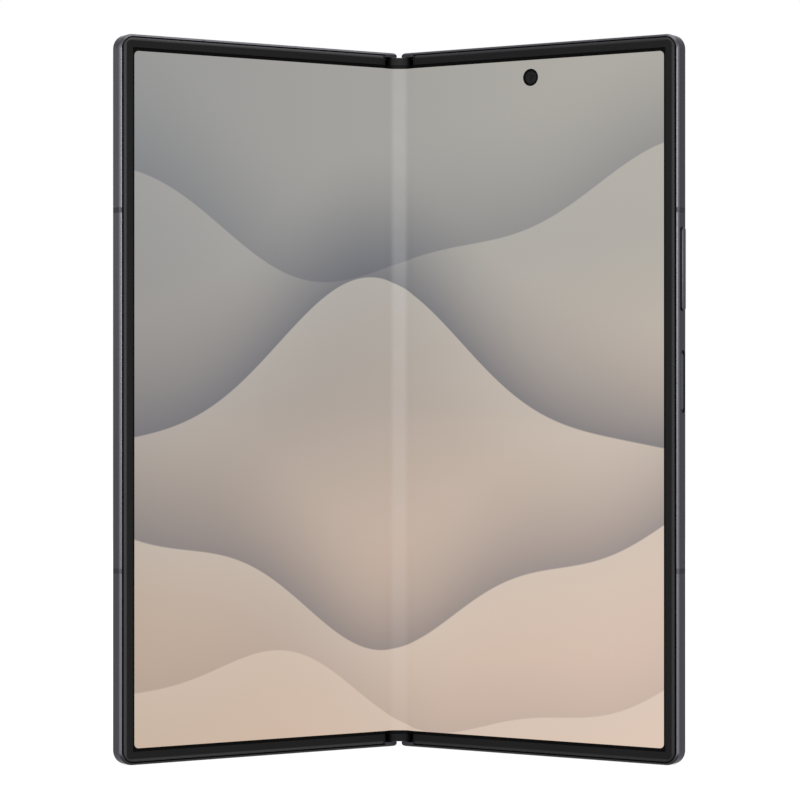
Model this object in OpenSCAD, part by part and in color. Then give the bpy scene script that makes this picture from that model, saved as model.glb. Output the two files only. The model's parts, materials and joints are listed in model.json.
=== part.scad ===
// Book-style folding smartphone, stood on its short edges and part folded.
// Each half is drawn flat open, with X out from the hinge, Y back from the front and Z up.
// It is then turned about its hinge pivot to the rest fold.

/* [Body] */
// Height of the body, along the hinge
body_h = 158.4; // [150:0.1:166]
// Width of one half, from the hinge's centre plane to its outer edge
half_w = 71.6; // [68:0.1:75]
// Thickness of one half, from the raised screen surround to the back glass
half_t = 4.2; // [4.1:0.05:4.6]
// Radius of the outer corners
corner_r = 3.2; // [3.1:0.1:5]
// Radius of the corners beside the hinge
hinge_corner_r = 0.9; // [0.6:0.05:1]
// Thickness of the frame's walls
wall_t = 1.05; // [0.95:0.05:1.2]
// Radius along the frame's front edges
edge_r = 0.8; // [0.5:0.05:1]

/* [Fold] */
// Angle that each half is turned from flat at rest
fold = 32.5; // [0:0.5:90]
// Gap between the two surrounds when the phone is closed
closed_gap = 0.5; // [0.4:0.05:0.6]
// Depth of the fold pivots behind the surround's front
pivot_depth = 1.05; // [1.05:0.01:1.1]
// Half width of the screen's flexible strip
flex_w = 4.2; // [4:0.1:4.6]
// Running gap between the hinge housing and the halves that turn round it
sweep_gap = 0.15; // [0.1:0.01:0.2]
// Thickness of the frame's floor beside the hinge, under the back glass
floor_t = 0.17; // [0.15:0.01:0.25]

/* [Screen] */
// Height of the surround above the frame's rim
surround_rise = 0.25; // [0.2:0.01:0.3]
// Width of the surround
surround_w = 2.2; // [2:0.05:2.4]
// Groove between the frame's rim and the surround
surround_groove = 0.25; // [0.2:0.01:0.3]
// Depth of the screen behind the surround's front
screen_recess = 0.45; // [0.4:0.01:0.48]
// Thickness of the folding screen
screen_t = 0.35; // [0.3:0.01:0.36]
// Thickness of the metal plate behind the screen
plate_t = 0.15; // [0.1:0.01:0.16]
// Thickness of a film of adhesive
glue_t = 0.03; // [0.02:0.01:0.04]
// Thickness of the frame's deck, which carries the screen
deck_t = 0.4; // [0.35:0.01:0.42]
// Thickness of the glass on the back of each half
glass_t = 0.4; // [0.35:0.01:0.42]

/* [Hinge] */
// Thickness of the hinge housing's wall
housing_t = 0.3; // [0.25:0.01:0.32]
// Inner radius of the curved rails about the pivot
rail_in = 1.25; // [1.25:0.01:1.3]
// Thickness of the curved rails
rail_t = 0.5; // [0.45:0.01:0.55]
// Width of a rail along the hinge
rail_w = 3; // [2.6:0.1:3.4]
// Running gap round the rails and shafts
run_gap = 0.05; // [0.03:0.01:0.06]
// Thickness of the arms where they cross the housing's edge
arm_t = 0.4; // [0.35:0.01:0.42]
// Teeth on each timing gear
gear_teeth = 8; // [8:2:10]
// Pitch diameter of the timing gears
gear_d = 1.4; // [1.35:0.01:1.4]
// Width of the timing gears along the hinge
gear_w = 2.4; // [2:0.1:2.8]
// Radius of the gear shafts
shaft_r = 0.28; // [0.25:0.01:0.3]
// Distance of each hinge module from the end of the body
module_z = 8; // [7:0.5:12]

/* [Keys and ports] */
// Length of the volume key
volume_len = 18.1; // [16:0.1:22]
// Distance of the volume key's centre from the top of the body
volume_drop = 50.9; // [49:0.1:54]
// Length of the power key
power_len = 12.4; // [10:0.1:14]
// Distance of the power key's centre from the top of the body
power_drop = 75.3; // [72:0.1:80]
// Width of the keys across the wall
key_w = 1.4; // [1.3:0.05:1.8]
// How far the volume key stands out of the wall
volume_proud = 0.45; // [0.3:0.05:0.6]
// Gap round a key
key_gap = 0.08; // [0.06:0.01:0.12]
// Width of the socket's mouth
socket_w = 8.34; // [8.3:0.01:8.4]
// Height of the socket's mouth
socket_h = 2.5; // [2.44:0.01:2.5]
// Depth of the socket
socket_l = 6.6; // [6:0.1:7.2]
// Width of the card tray
tray_w = 11; // [10:0.1:13]
// Thickness of the card tray
tray_t = 1.3; // [1:0.05:1.5]
// Length of the card tray
tray_l = 22; // [18:0.5:26]

/* [Cameras] */
// Width of the camera island
island_w = 20; // [18:0.5:22]
// Distance between the rear cameras
lens_pitch = 19.2; // [18.4:0.1:20]
// How far the camera island stands out of the back glass
island_rise = 1.3; // [1:0.1:2]
// Outer radius of the camera rings
ring_r = 8.1; // [7:0.1:8.4]
// Radius of the front camera's hole in the screen
eye_r = 1.9; // [1.6:0.05:2.2]
// Distance of the front camera from the hinge
eye_x = 34.8; // [30:0.1:40]
// Distance of the front camera from the top of the body
eye_drop = 7.5; // [6.5:0.1:9]

/* [Hidden] */

$fn = 48;
// Bite of one solid into another that it is fused with
bite = 0.2;
// Reach of a cutter past what it cuts
past = 1;

// Depths behind the surround's front
rim_y = surround_rise;
screen_y = screen_recess;
plate_y = screen_y + screen_t + glue_t;
deck_y = plate_y + plate_t + glue_t;
deck_back = deck_y + deck_t;
glass_y = half_t - glass_t;
lip_y = glass_y - glue_t - floor_t;

// The pivot of each half lies beside the centre plane, so that a quarter turn closes the gap
pivot_x = pivot_depth + closed_gap / 2;
housing_r = lip_y - pivot_depth - sweep_gap;
sweep_r = housing_r + sweep_gap;
bay_r = housing_r - housing_t;
housing_top = pivot_depth + 0.1;
housing_x = pivot_x + housing_r;
// Inner edges of the frame: the end walls, and the lip behind the hinge
end_x = 0.87;
lip_x = 0.3;
// The hinge wall closes each half's inside off from the hinge
hinge_wall_x = pivot_x + sweep_r + 1.1;
hinge_wall_t = 0.8;
deck_x = pivot_x + sweep_r + 0.05;
lip_w = hinge_wall_x + hinge_wall_t + 0.3;
hinge_rim_w = 0.8;
rim_w = 0.5;
rim_back = rim_y + edge_r * (1 - sqrt(1 - pow(1 - rim_w / edge_r, 2)));
back_rim_w = 0.6;
back_edge_r = back_rim_w - 0.02;
surround_in = rim_w + surround_groove;
surround_x = deck_x + 0.3;
surround_lap = 0.85;
surround_edge_r = 0.5;
screen_edge = surround_in + surround_w - surround_lap + 0.05;
hinge_end_gap = 0.1;
hinge_z = wall_t + hinge_end_gap;

// Gear train: the two outer gears turn with the halves, and two idlers join them
gear_x = 1.5 * gear_d;
gear_y = pivot_depth + 0.9;
gear_module = gear_d / gear_teeth;
gear_tip_r = gear_d / 2 + 0.72 * gear_module;
gear_root_r = gear_d / 2 - 0.95 * gear_module;
pressure_angle = 30;
backlash = 0.03;

// Arms
arm_y = deck_back + 0.27;
arm_back = arm_y + arm_t;
arm_end = hinge_wall_x + hinge_wall_t + 4.2;
arm_pad_w = rail_w + 3;
arm_pad_x = hinge_wall_x + hinge_wall_t + 0.2;
arm_screw_x = [arm_end - 2.9, arm_end - 1.1];
rail_out = rail_in + rail_t;
rail_from = 28;
rail_to = 150;
block_wall = 0.7;
block_len = 2 * rail_w + 4 * run_gap + 3 * block_wall;
block_mid_z = (body_h - block_len) / 2;
screw_r = 0.45;

// Stations along a hinge module, counted from the end of the body
rail_right_z = module_z + block_wall + run_gap;
rail_left_z = rail_right_z + rail_w + 2 * run_gap + block_wall;
bracket_z = module_z + block_len + 1;
bracket_plate = 0.8;
gear_z = bracket_z + bracket_plate + 0.1;
hub_z = gear_z + gear_w;
hub_len = 2.4;
slider_z = hub_z + hub_len + 0.15;
slider_len = 1.6;
spring_z = slider_z + slider_len + 0.05;
spring_len = 5;
bracket_len = spring_z + spring_len + 0.05 + bracket_plate - bracket_z;
hub_r = 0.5;
spring_turns = 6;
spring_wire_r = 0.09;
spring_r = 0.45;
tail_w = 2;
tail_t = 0.35;
tail_len = 7.8;
tail_lift = norm([gear_x - pivot_x, gear_y - pivot_depth]) - (gear_y - pivot_depth);

// Hinge caps
cap_w = 2.75;
cap_l = 1.7;
cap_bow_r = 5;
cap_y = screen_y - 0.28;
fold_edge = hinge_z + cap_l + 0.05;
screen_corner_r = 1.3;
screw_bite = 0.3;
shaft_xs = [-gear_x, -gear_d / 2, gear_d / 2, gear_x];

// Keys
volume_z = body_h - volume_drop;
power_z = body_h - power_drop;
key_y = (half_t + rim_y) / 2 + 0.35;
key_reach = 0.6;
key_flange_t = 0.35;
key_travel = 0.25;
power_dish = 0.25;
power_sunk = 0.1;

// Ports and the card tray
port_y = (deck_y + glass_y) / 2;
socket_x = half_w / 2;
socket_skin = 0.1;
loudspeaker_x = half_w - 17;
earpiece_x = half_w - 17;
tray_x = 22;
tray_y = port_y;
tray_face_t = 0.9;
tray_recess = 0.05;
tray_body_w = tray_w - 0.6;
tray_body_t = tray_t - 0.2;
pin_hole_r = 0.45;

// Antenna bands, measured from the bottom and the top of the body
low_band = 42.1;
high_band = 38.2;
side_band_z = [low_band, body_h - high_band];
end_band_x = half_w - 20.5;
band_w = 1.1;

// Rear cameras and flash
island_x = half_w - 7.5 - island_w / 2;
island_h = 2 * lens_pitch + island_w;
island_top = body_h - 8;
island_front = half_t + island_rise;
island_step = 0.65;
lens_z = [for (i = [0:2]) island_top - island_w / 2 - i * lens_pitch];
lens_r = ring_r - 1.5;
ring_rise = 0.8;
window_t = 0.5;
flash_x = island_x - island_w / 2 - 5;
flash_z = lens_z[0] - 4;
flash_r = 2;

// Front cameras and the cover display
eye_z = body_h - eye_drop;
cover_eye = [half_w / 2, body_h - 8];
cover_eye_r = 1.5;
display_y = glass_y - glue_t - 0.15;
display_border = 2.2;

// Room inside the halves
inner_x = arm_end + 0.6;
inner_w = half_w - wall_t - key_reach - key_travel - 0.7;
bay_front = deck_back + 0.06;
part_gap = 3;
reader_z = body_h - tray_l - 1.5;
board_t = 0.6;
can_t = 0.7;
can_inset = 4;
left_board_h = 28;
left_board_z = reader_z - 2.5 * part_gap - left_board_h;
main_board_z = lens_z[2] - ring_r - 1.9;
left_battery_z = 10;
pouch_tab = 3;
speaker_w = 14;
speaker_top = 21;
earpiece_w = 11;
earpiece_h = 6.4;
motor_w = 9;
motor_l = 12;
motor_z = 8;

// Depth of a point of a half at its rest fold
function depth_at(x, y) = pivot_depth - (x - pivot_x) * sin(fold) + (y - pivot_depth) * cos(fold);
front_reach = min(depth_at(half_w - edge_r, rim_y + edge_r) - edge_r,
    depth_at(half_w - surround_in - surround_edge_r, surround_edge_r) - surround_edge_r);
back_reach = max(depth_at(lip_x, half_t),
    depth_at(island_x - ring_r, half_t + island_rise + ring_rise));
// The phone's box is centred about the origin, front to back
stand_y = -(front_reach + back_reach) / 2;

// ---------------------------------------------------------------- outlines

// Points of an arc, from one angle to another
function arc(c, r, from, to, n = 8) =
    [for (i = [0:n]) let (t = from + (to - from) * i / n) c + r * [cos(t), sin(t)]];

// A rectangle whose corners are square on the hinge side, unless they are given a radius
function half_outline(x0, x1, z0, z1, outer_r, hinge_r = 0) = concat(
    arc([x1 - outer_r, z0 + outer_r], outer_r, -90, 0),
    arc([x1 - outer_r, z1 - outer_r], outer_r, 0, 90),
    hinge_r == 0 ? [[x0, z1], [x0, z0]] : concat(
        arc([x0 + hinge_r, z1 - hinge_r], hinge_r, 90, 180, 4),
        arc([x0 + hinge_r, z0 + hinge_r], hinge_r, 180, 270, 4)));

// A layer of a half: an outline in X and Z, between two depths
module layer(y0, y1) {
    translate([0, y1, 0]) rotate([90, 0, 0]) linear_extrude(y1 - y0) children();
}

// A round bar across the layers
module post(x, z, r, y0, y1) {
    translate([x, y0, z]) rotate([-90, 0, 0]) cylinder(r = r, h = y1 - y0);
}

// A block given by its lowest and highest corners
module block(lo, hi) {
    translate(lo) cube(hi - lo);
}

// A slot with round ends
module pill(w, h) {
    square([w - h, h], center = true);
    for (s = [-1, 1]) translate([s * (w - h) / 2, 0]) circle(d = h);
}

// A profile carried along the top, outer and bottom sides of a half.
// Its points are [distance in from the side, depth].
module carried(profile, inset, from_x) {
    r = corner_r - inset;
    x1 = half_w - inset;
    z1 = body_h - inset;
    run = x1 - r - from_x;
    bend = [for (p = profile) [r - p[0], p[1]]];
    translate([x1, 0, inset + r]) linear_extrude(z1 - inset - 2 * r)
        polygon([for (p = profile) [-p[0], p[1]]]);
    translate([from_x, 0, z1]) rotate([0, 90, 0]) linear_extrude(run) polygon(profile);
    translate([x1 - r, 0, inset]) rotate([0, -90, 0]) linear_extrude(run) polygon(profile);
    translate([x1 - r, 0, inset + r]) rotate([-90, 0, 0])
        rotate_extrude(angle = 90) polygon(bend);
    translate([x1 - r, 0, z1 - r]) rotate([-90, 0, 0]) rotate([0, 0, -90])
        rotate_extrude(angle = 90) polygon(bend);
}

// ---------------------------------------------------------------- placing

// The right half at its rest fold
module right() {
    translate([pivot_x, pivot_depth + stand_y, 0]) rotate([0, 0, -fold])
        translate([-pivot_x, -pivot_depth, 0]) children();
}

// The left half is placed as the right half's mirror image
module left() {
    mirror([1, 0, 0]) right() children();
}

// The hinge's fixed middle
module spine() {
    translate([0, stand_y, 0]) children();
}

// At the bottom end of the body, or mirrored to its top end
module at_end(top) {
    if (top) translate([0, 0, body_h]) mirror([0, 0, 1]) children();
    else children();
}

// ---------------------------------------------------------------- hinge

// Outline of a bar that lies in the hinge: two arcs about the pivots, joined behind by a flat
function bar_outline(r, top) = let (a = asin((top - pivot_depth) / r)) concat(
    arc([pivot_x, pivot_depth], r, a, 90, 16),
    arc([-pivot_x, pivot_depth], r, 90, 180 - a, 16));

// Places along the hinge of the three rail arms of one side
function rail_stations(right_side) = let (z = right_side ? rail_right_z : rail_left_z)
    [z, block_mid_z - module_z + z, body_h - z - rail_w];

// Places along the hinge of the two timing arms of one side
hub_stations = [hub_z, body_h - hub_z - hub_len];

module hinge_housing() {
    inside = body_h - 2 * hinge_z - 2 * housing_t;
    color("#3a3a40") spine() difference() {
        translate([0, 0, hinge_z]) linear_extrude(body_h - 2 * hinge_z)
            polygon(bar_outline(housing_r, housing_top));
        translate([0, 0, hinge_z + housing_t]) linear_extrude(inside) polygon(concat(
            [[-pivot_x - bay_r, housing_top - past], [pivot_x + bay_r, housing_top - past]],
            bar_outline(bay_r, housing_top)));
        housing_notches(true);
        mirror([1, 0, 0]) housing_notches(false);
    }
}

// Notches in the housing's edge, where the arms of one side cross it
module housing_notches(right_side) {
    x0 = pivot_x + bay_r / 2;
    x1 = housing_x + past;
    for (z = rail_stations(right_side))
        block([x0, housing_top - past, z - run_gap], [x1, arm_back + 0.1, z + rail_w + run_gap]);
    for (z = hub_stations)
        block([x0, housing_top - past, z - run_gap],
            [x1, gear_y + tail_t / 2 + 0.1, z + hub_len + run_gap]);
}

// The bowed cap that closes the hinge's end in front, on a plug in the housing
module hinge_cap(top) {
    foot = housing_top - glue_t;
    bow = asin(cap_w / cap_bow_r);
    color("#2b2b2d") spine() at_end(top) {
        translate([0, 0, hinge_z]) linear_extrude(cap_l) polygon(concat(
            arc([0, cap_y + cap_bow_r], cap_bow_r, -90 - bow, -90 + bow, 16),
            [[cap_w, foot], [-cap_w, foot]]));
        translate([0, 0, hinge_z + housing_t + glue_t]) linear_extrude(cap_l - housing_t - 2 * glue_t)
            polygon(bar_outline(bay_r - glue_t, foot - bite));
    }
}

// A ring sector about the right pivot
module rail_ring(r0, r1, from, to, len) {
    reach = 3 * r1;
    translate([pivot_x, pivot_depth, 0]) intersection() {
        difference() {
            cylinder(r = r1, h = len);
            translate([0, 0, -past]) cylinder(r = r0, h = len + 2 * past);
        }
        linear_extrude(len) polygon(concat([[0, 0]], arc([0, 0], reach, from, to, 6)));
    }
}

// The block that guides one rail of each side
module rail_block(z) {
    pitch = rail_w + 2 * run_gap + block_wall;
    color("#8d8f93") spine() translate([0, 0, z]) difference() {
        linear_extrude(block_len) polygon(bar_outline(bay_r - glue_t, housing_top));
        translate([0, 0, block_wall]) rail_slot();
        translate([0, 0, block_wall + pitch]) mirror([1, 0, 0]) rail_slot();
    }
}

// The curved slot for one rail, with its way out to the side
module rail_slot() {
    slot_w = rail_w + 2 * run_gap;
    rail_ring(rail_in - run_gap, rail_out + run_gap, -30, rail_to + 3, slot_w);
    block([pivot_x + rail_in - run_gap, 0, 0], [housing_x, arm_back + 0.1, slot_w]);
}

// A rail arm: a curved tongue that runs in a block, and a foot under the deck
module rail_arm() {
    rail_ring(rail_in, rail_out, rail_from, rail_to, rail_w);
    difference() {
        block([pivot_x, arm_y, 0], [arm_end, arm_back, rail_w]);
        translate([pivot_x, pivot_depth, -past])
            cylinder(r = (rail_in + rail_out) / 2, h = rail_w + 2 * past);
    }
    block([arm_pad_x, deck_back + glue_t, (rail_w - arm_pad_w) / 2],
        [arm_end, arm_back, (rail_w + arm_pad_w) / 2]);
}

module rail_arms(right_side) {
    color("#a7a9ac") for (z = rail_stations(right_side)) translate([0, 0, z]) difference() {
        rail_arm();
        for (x = arm_screw_x) post(x, rail_w / 2, screw_r + run_gap, deck_back, half_t);
    }
}

module arm_screws(right_side) {
    color("#c9cacc") for (z = rail_stations(right_side), x = arm_screw_x) {
        post(x, z + rail_w / 2, screw_r, deck_back - screw_bite, arm_back + bite);
        post(x, z + rail_w / 2, 2 * screw_r, arm_back + 0.01, arm_back + 0.26);
    }
}

// ---------------------------------------------------------------- timing gears

// How far an involute flank has turned at a radius
function unwind(r, base) = let (t = sqrt(max(0, pow(r / base, 2) - 1))) t * 180 / PI - atan(t);

// Outline of a timing gear, with a tooth along +X
function gear_outline() =
    let (base = gear_d / 2 * cos(pressure_angle),
        tooth = 90 / gear_teeth - backlash / gear_d * 180 / PI + unwind(gear_d / 2, base),
        radii = [for (i = [0:4]) gear_root_r + (gear_tip_r - gear_root_r) * i / 4],
        half = [for (r = radii) tooth - unwind(r, base)])
    [for (k = [0:gear_teeth - 1], s = [-1, 1], i = [0:4])
        let (j = s < 0 ? i : 4 - i, t = 360 * k / gear_teeth + s * half[j])
        radii[j] * [cos(t), sin(t)]];

// A gear on a hub, drilled for its shaft
module gear_on_hub(phase) {
    difference() {
        union() {
            rotate([0, 0, phase]) linear_extrude(gear_w) polygon(gear_outline());
            translate([0, 0, gear_w - bite]) cylinder(r = hub_r, h = hub_len + bite);
            children();
        }
        translate([0, 0, -past]) cylinder(r = shaft_r + run_gap, h = gear_w + hub_len + 2 * past);
    }
}

// An idler stands between the centre plane and one outer gear, and turns against it
module idler_gear(side, top) {
    phase = side > 0 ? 0 : 180 / gear_teeth;
    color("#c8b27a") spine() at_end(top) translate([side * gear_d / 2, gear_y, gear_z])
        gear_on_hub(phase + side * fold);
}

// An outer gear with its arm, whose tail slides under the deck of its half
module timing_arm(side, top) {
    phase = side > 0 ? 180 / gear_teeth : 0;
    x0 = side > 0 ? 0 : -tail_len;
    color("#b0b2b5") spine() at_end(top) translate([side * gear_x, gear_y, gear_z])
        rotate([0, 0, -side * fold]) gear_on_hub(phase)
            translate([x0, -tail_t / 2, gear_w + (hub_len - tail_w) / 2]) cube([tail_len, tail_t, tail_w]);
}

// Two end plates on a base that lies in the housing
module gear_bracket(top) {
    base_y = gear_y + gear_tip_r + 0.05;
    color("#85878b") spine() at_end(top) translate([0, 0, bracket_z]) difference() {
        linear_extrude(bracket_len) polygon(bar_outline(bay_r - glue_t, housing_top));
        translate([-housing_x, 0, bracket_plate])
            cube([2 * housing_x, base_y, bracket_len - 2 * bracket_plate]);
        for (x = shaft_xs) translate([x, gear_y, -past])
            cylinder(r = shaft_r + 0.01, h = bracket_len + 2 * past);
    }
}

module gear_shafts() {
    color("#d4d5d8") for (top = [false, true], x = shaft_xs) spine() at_end(top)
        translate([x, gear_y, bracket_z + 0.1]) cylinder(r = shaft_r, h = bracket_len - 0.2);
}

// The slider that carries the springs' load to the hubs
module cam_slider(top) {
    color("#9a9ca0") spine() at_end(top) translate([0, gear_y, slider_z]) difference() {
        union() {
            block([-gear_x, -hub_r + 0.05, 0.1], [gear_x, hub_r - 0.05, slider_len]);
            for (x = [-gear_x, gear_x]) translate([x, 0, 0]) cylinder(r = hub_r, h = slider_len);
        }
        for (x = shaft_xs) translate([x, 0, -past])
            cylinder(r = shaft_r + run_gap, h = slider_len + 2 * past);
    }
}

module torque_springs() {
    color("#caccd0") for (top = [false, true], x = [-gear_x, gear_x]) spine() at_end(top)
        translate([x, gear_y, spring_z]) coil_spring();
}

// A wire wound as a helix, with its ends inside the spring's length
module coil_spring() {
    sides = 6;
    per_turn = 10;
    rings = spring_turns * per_turn;
    rise = spring_len - 2 * spring_wire_r;
    points = [for (i = [0:rings], k = [0:sides - 1])
        let (turn = 360 * i / per_turn, a = 360 * k / sides, r = spring_r + spring_wire_r * cos(a))
        [r * cos(turn), r * sin(turn), spring_wire_r * (1 + sin(a)) + rise * i / rings]];
    walls = [for (i = [0:rings - 1], k = [0:sides - 1])
        let (a = i * sides + k, b = i * sides + (k + 1) % sides)
        each [[a, a + sides, b], [b, a + sides, b + sides]]];
    ends = [[for (k = [0:sides - 1]) k], [for (k = [sides - 1:-1:0]) rings * sides + k]];
    polyhedron(points, concat(walls, ends));
}

// ---------------------------------------------------------------- folding screen

// Share of the half's turn that the flexible strip has taken at a distance from the centre
function share(x) = let (t = min(1, x / flex_w)) t * t * (3 - 2 * t);

// Where a point of the flexible strip's right side lies at rest, from its place when flat
function bent(x, y) = let (a = share(x) * fold, dx = x - pivot_x, dy = y - pivot_depth)
    [pivot_x + dx * cos(a) + dy * sin(a), pivot_depth - dx * sin(a) + dy * cos(a)];

// The flexible strip of a layer of the screen
module bent_strip(y0, y1) {
    steps = 14;
    side = [for (i = [0:steps]) (flex_w - glue_t) * i / steps];
    front = [for (x = side) bent(x, y0)];
    back = [for (i = [steps:-1:0]) bent(side[i], y1)];
    half = concat(front, back);
    translate([0, 0, fold_edge]) linear_extrude(body_h - 2 * fold_edge) polygon(concat(half,
        [for (i = [len(half) - 2:-1:1]) [-half[i][0], half[i][1]]]));
}

module screen_fold() {
    color("#101012") spine() bent_strip(screen_y, screen_y + screen_t);
}

module screen_plate_fold() {
    color("#8b8c90") spine() bent_strip(plate_y, plate_y + plate_t);
}

// The flat part of a layer of the screen on one half
module screen_layer(y0, y1, inset) {
    edge = screen_edge + inset;
    layer(y0, y1) polygon(half_outline(flex_w, half_w - edge, edge, body_h - edge, screen_corner_r));
}

module screen_panel() {
    screen_layer(screen_y, screen_y + screen_t, 0);
}

module screen_plate() {
    screen_layer(plate_y, plate_y + plate_t, 0.2);
}

module screen_right() {
    color("#101012") difference() {
        screen_panel();
        post(eye_x, eye_z, eye_r, 0, half_t);
    }
}

module screen_plate_right() {
    color("#8b8c90") difference() {
        screen_plate();
        post(eye_x, eye_z, eye_r + 0.3, 0, half_t);
    }
}

// The soft surround, whose inner lap holds the edge of the screen
module surround() {
    lap_y = screen_y - 0.02;
    back_y = deck_y - glue_t;
    lap_x = surround_w - surround_lap;
    color("#222224") carried(concat(
        arc([surround_edge_r, surround_edge_r], surround_edge_r, 180, 270, 5),
        arc([surround_w - 0.12, 0.12], 0.12, 270, 360, 4),
        [[surround_w, lap_y], [lap_x, lap_y], [lap_x, back_y], [0, back_y]]),
        surround_in, surround_x);
}

// ---------------------------------------------------------------- frame of a half

// Section of the frame's outer wall, with the ledges that hold the surround and the glass.
// Its front edge is an arc that stops at the rim's inner side
function wall_profile() = concat(
    arc([edge_r, rim_y + edge_r], edge_r, 180 + acos(1 - rim_w / edge_r), 180, 8),
    arc([back_edge_r, half_t - back_edge_r], back_edge_r, 180, 90, 6),
    [[back_rim_w, half_t], [back_rim_w, glass_y - glue_t], [wall_t, glass_y - glue_t],
    [wall_t, deck_y], [rim_w, deck_y]]);

// Outline that reaches a little way into the walls
module inside_walls(x0, x1) {
    edge = wall_t - bite;
    intersection() {
        polygon(half_outline(0, half_w - edge, edge, body_h - edge, corner_r - edge));
        translate([x0, 0]) square([x1 - x0, body_h]);
    }
}

// Walls, deck, hinge wall, and the floor and rim beside the hinge, as one casting
module frame_casting() {
    difference() {
        union() {
            carried(wall_profile(), 0, end_x);
            layer(deck_y, deck_back) inside_walls(deck_x, half_w);
            layer(deck_back - bite, lip_y + floor_t / 2)
                inside_walls(hinge_wall_x, hinge_wall_x + hinge_wall_t);
            layer(lip_y, lip_y + floor_t) inside_walls(lip_x, lip_w);
            layer(lip_y, half_t) inside_walls(lip_x, lip_x + hinge_rim_w);
            hinge_end_fill();
        }
        for (top = [false, true]) at_end(top) hinge_corner_cut();
        deck_ramp();
    }
}

// Makes the end walls solid beside the hinge, behind at the glass ledge and in front
// as far as the surround
module hinge_end_fill() {
    for (top = [false, true]) at_end(top) {
        block([end_x, lip_y, back_rim_w - bite / 2], [lip_x + hinge_rim_w, half_t, wall_t]);
        block([end_x, rim_back, rim_w - bite / 2], [surround_x - 0.15, deck_y + bite, wall_t]);
    }
}

// Rounds the corner where an end wall stops at the hinge
module hinge_corner_cut() {
    c = [end_x + hinge_corner_r, hinge_corner_r];
    layer(-past, half_t + past) polygon(concat(
        [[end_x - past, -past], [c[0], -past]], arc(c, hinge_corner_r, 270, 180),
        [[end_x - past, c[1]]]));
}

// Slopes the deck's edge between the end walls, so that the folded screen has room
module deck_ramp() {
    translate([0, 0, wall_t]) linear_extrude(body_h - 2 * wall_t) polygon([
        [deck_x - past, deck_y - 0.01], [deck_x + 1.2, deck_y - 0.01],
        [deck_x - 0.01, deck_back - 0.12], [deck_x - past, deck_back - 0.12]]);
}

// Ways through the hinge wall, and threads in the deck, for the arms of one side
module arm_ways(right_side) {
    x0 = hinge_wall_x - past;
    x1 = hinge_wall_x + hinge_wall_t + past;
    for (z = rail_stations(right_side)) {
        block([x0, deck_back, z - run_gap], [x1, arm_back + 0.1, z + rail_w + run_gap]);
        for (x = arm_screw_x)
            post(x, z + rail_w / 2, screw_r + 0.01, deck_back - screw_bite - 0.05, half_t / 2);
    }
    for (z = hub_stations)
        block([x0, deck_back, z], [x1, gear_y + tail_t / 2 + tail_lift + 0.1, z + hub_len]);
}

// Blocks that cut the outer walls where the antenna bands lie
module band_blocks(w) {
    for (z = side_band_z) block([half_w - wall_t - 0.01, -past, z - w / 2],
        [half_w + past, half_t + past, z + w / 2]);
    for (z = [-past, body_h - wall_t - 0.01]) block([end_band_x - w / 2, -past, z],
        [end_band_x + w / 2, half_t + past, z + wall_t + past + 0.01]);
}

module antenna_bands() {
    color("#4b4b52") intersection() {
        carried(wall_profile(), 0, end_x);
        band_blocks(band_w);
    }
}

// A row of round holes through an end wall
module hole_row(x, count, pitch, r, top) {
    for (i = [0:count - 1]) at_end(top) translate([x + i * pitch, port_y, -past])
        cylinder(r = r, h = wall_t + 2 * past);
}

module frame_left() {
    color("#55555c") difference() {
        frame_casting();
        arm_ways(false);
        band_blocks(band_w + 0.02);
        cover_display_outline(0.05, display_y - glue_t, glass_y);
        // Mouth of the card tray
        translate([tray_x, tray_y, body_h - wall_t - past]) linear_extrude(wall_t + 2 * past)
            pill(tray_w + 2 * key_gap, tray_t + 2 * key_gap);
        // Holes of the earpiece and of a microphone
        hole_row(earpiece_x - 3.5, 4, 2, 0.5, true);
        hole_row(half_w / 2, 1, 0, 0.4, false);
    }
}

module frame_right() {
    color("#55555c") difference() {
        frame_casting();
        arm_ways(true);
        band_blocks(band_w + 0.02);
        post(eye_x, eye_z, eye_r + 0.3, 0, deck_back + bite);
        key_hole(volume_len, volume_z);
        key_hole(power_len, power_z);
        // A dished recess round the power key
        translate([half_w - power_dish, key_y, power_z]) rotate([0, 90, 0]) linear_extrude(past)
            pill(power_len + 1.2, key_w + 0.5);
        // Mouth of the socket, and room for its shell
        translate([socket_x, port_y, -past]) linear_extrude(wall_t + 2 * past)
            pill(socket_w, socket_h);
        block([socket_x - socket_w / 2 - 0.4, 0, wall_t],
            [socket_x + socket_w / 2 + 0.4, half_t - past, wall_t + socket_l + 0.1]);
        // Holes of the loudspeaker and of two microphones
        hole_row(loudspeaker_x - 5, 6, 2, 0.5, false);
        hole_row(socket_x - 10, 1, 0, 0.4, false);
        hole_row(socket_x, 1, 0, 0.4, true);
    }
}

// A hole through the outer wall for a key
module key_hole(len, z) {
    translate([half_w - wall_t - past, key_y, z]) rotate([0, 90, 0])
        linear_extrude(wall_t + 2 * past) pill(len + 2 * key_gap, key_w + 2 * key_gap);
}

// ---------------------------------------------------------------- backs

// The glass that closes the back of a half
module glass_panel() {
    edge = back_rim_w + glue_t;
    layer(glass_y, half_t) polygon(half_outline(lip_x + hinge_rim_w + glue_t, half_w - edge,
        edge, body_h - edge, corner_r - edge, 0.5));
}

// Outline of the cover display, grown by a margin
module cover_display_outline(grow, y0, y1) {
    edge = display_border - grow;
    layer(y0, y1) polygon(half_outline(edge + 0.4, half_w - edge, edge, body_h - edge, 1.5, 1.5));
}

module cover_glass() {
    color("#131316") glass_panel();
}

module cover_display() {
    color("#0b0b0d") difference() {
        cover_display_outline(0, display_y, glass_y - glue_t);
        post(cover_eye[0], cover_eye[1], cover_eye_r + 0.1, 0, half_t);
    }
}

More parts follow.
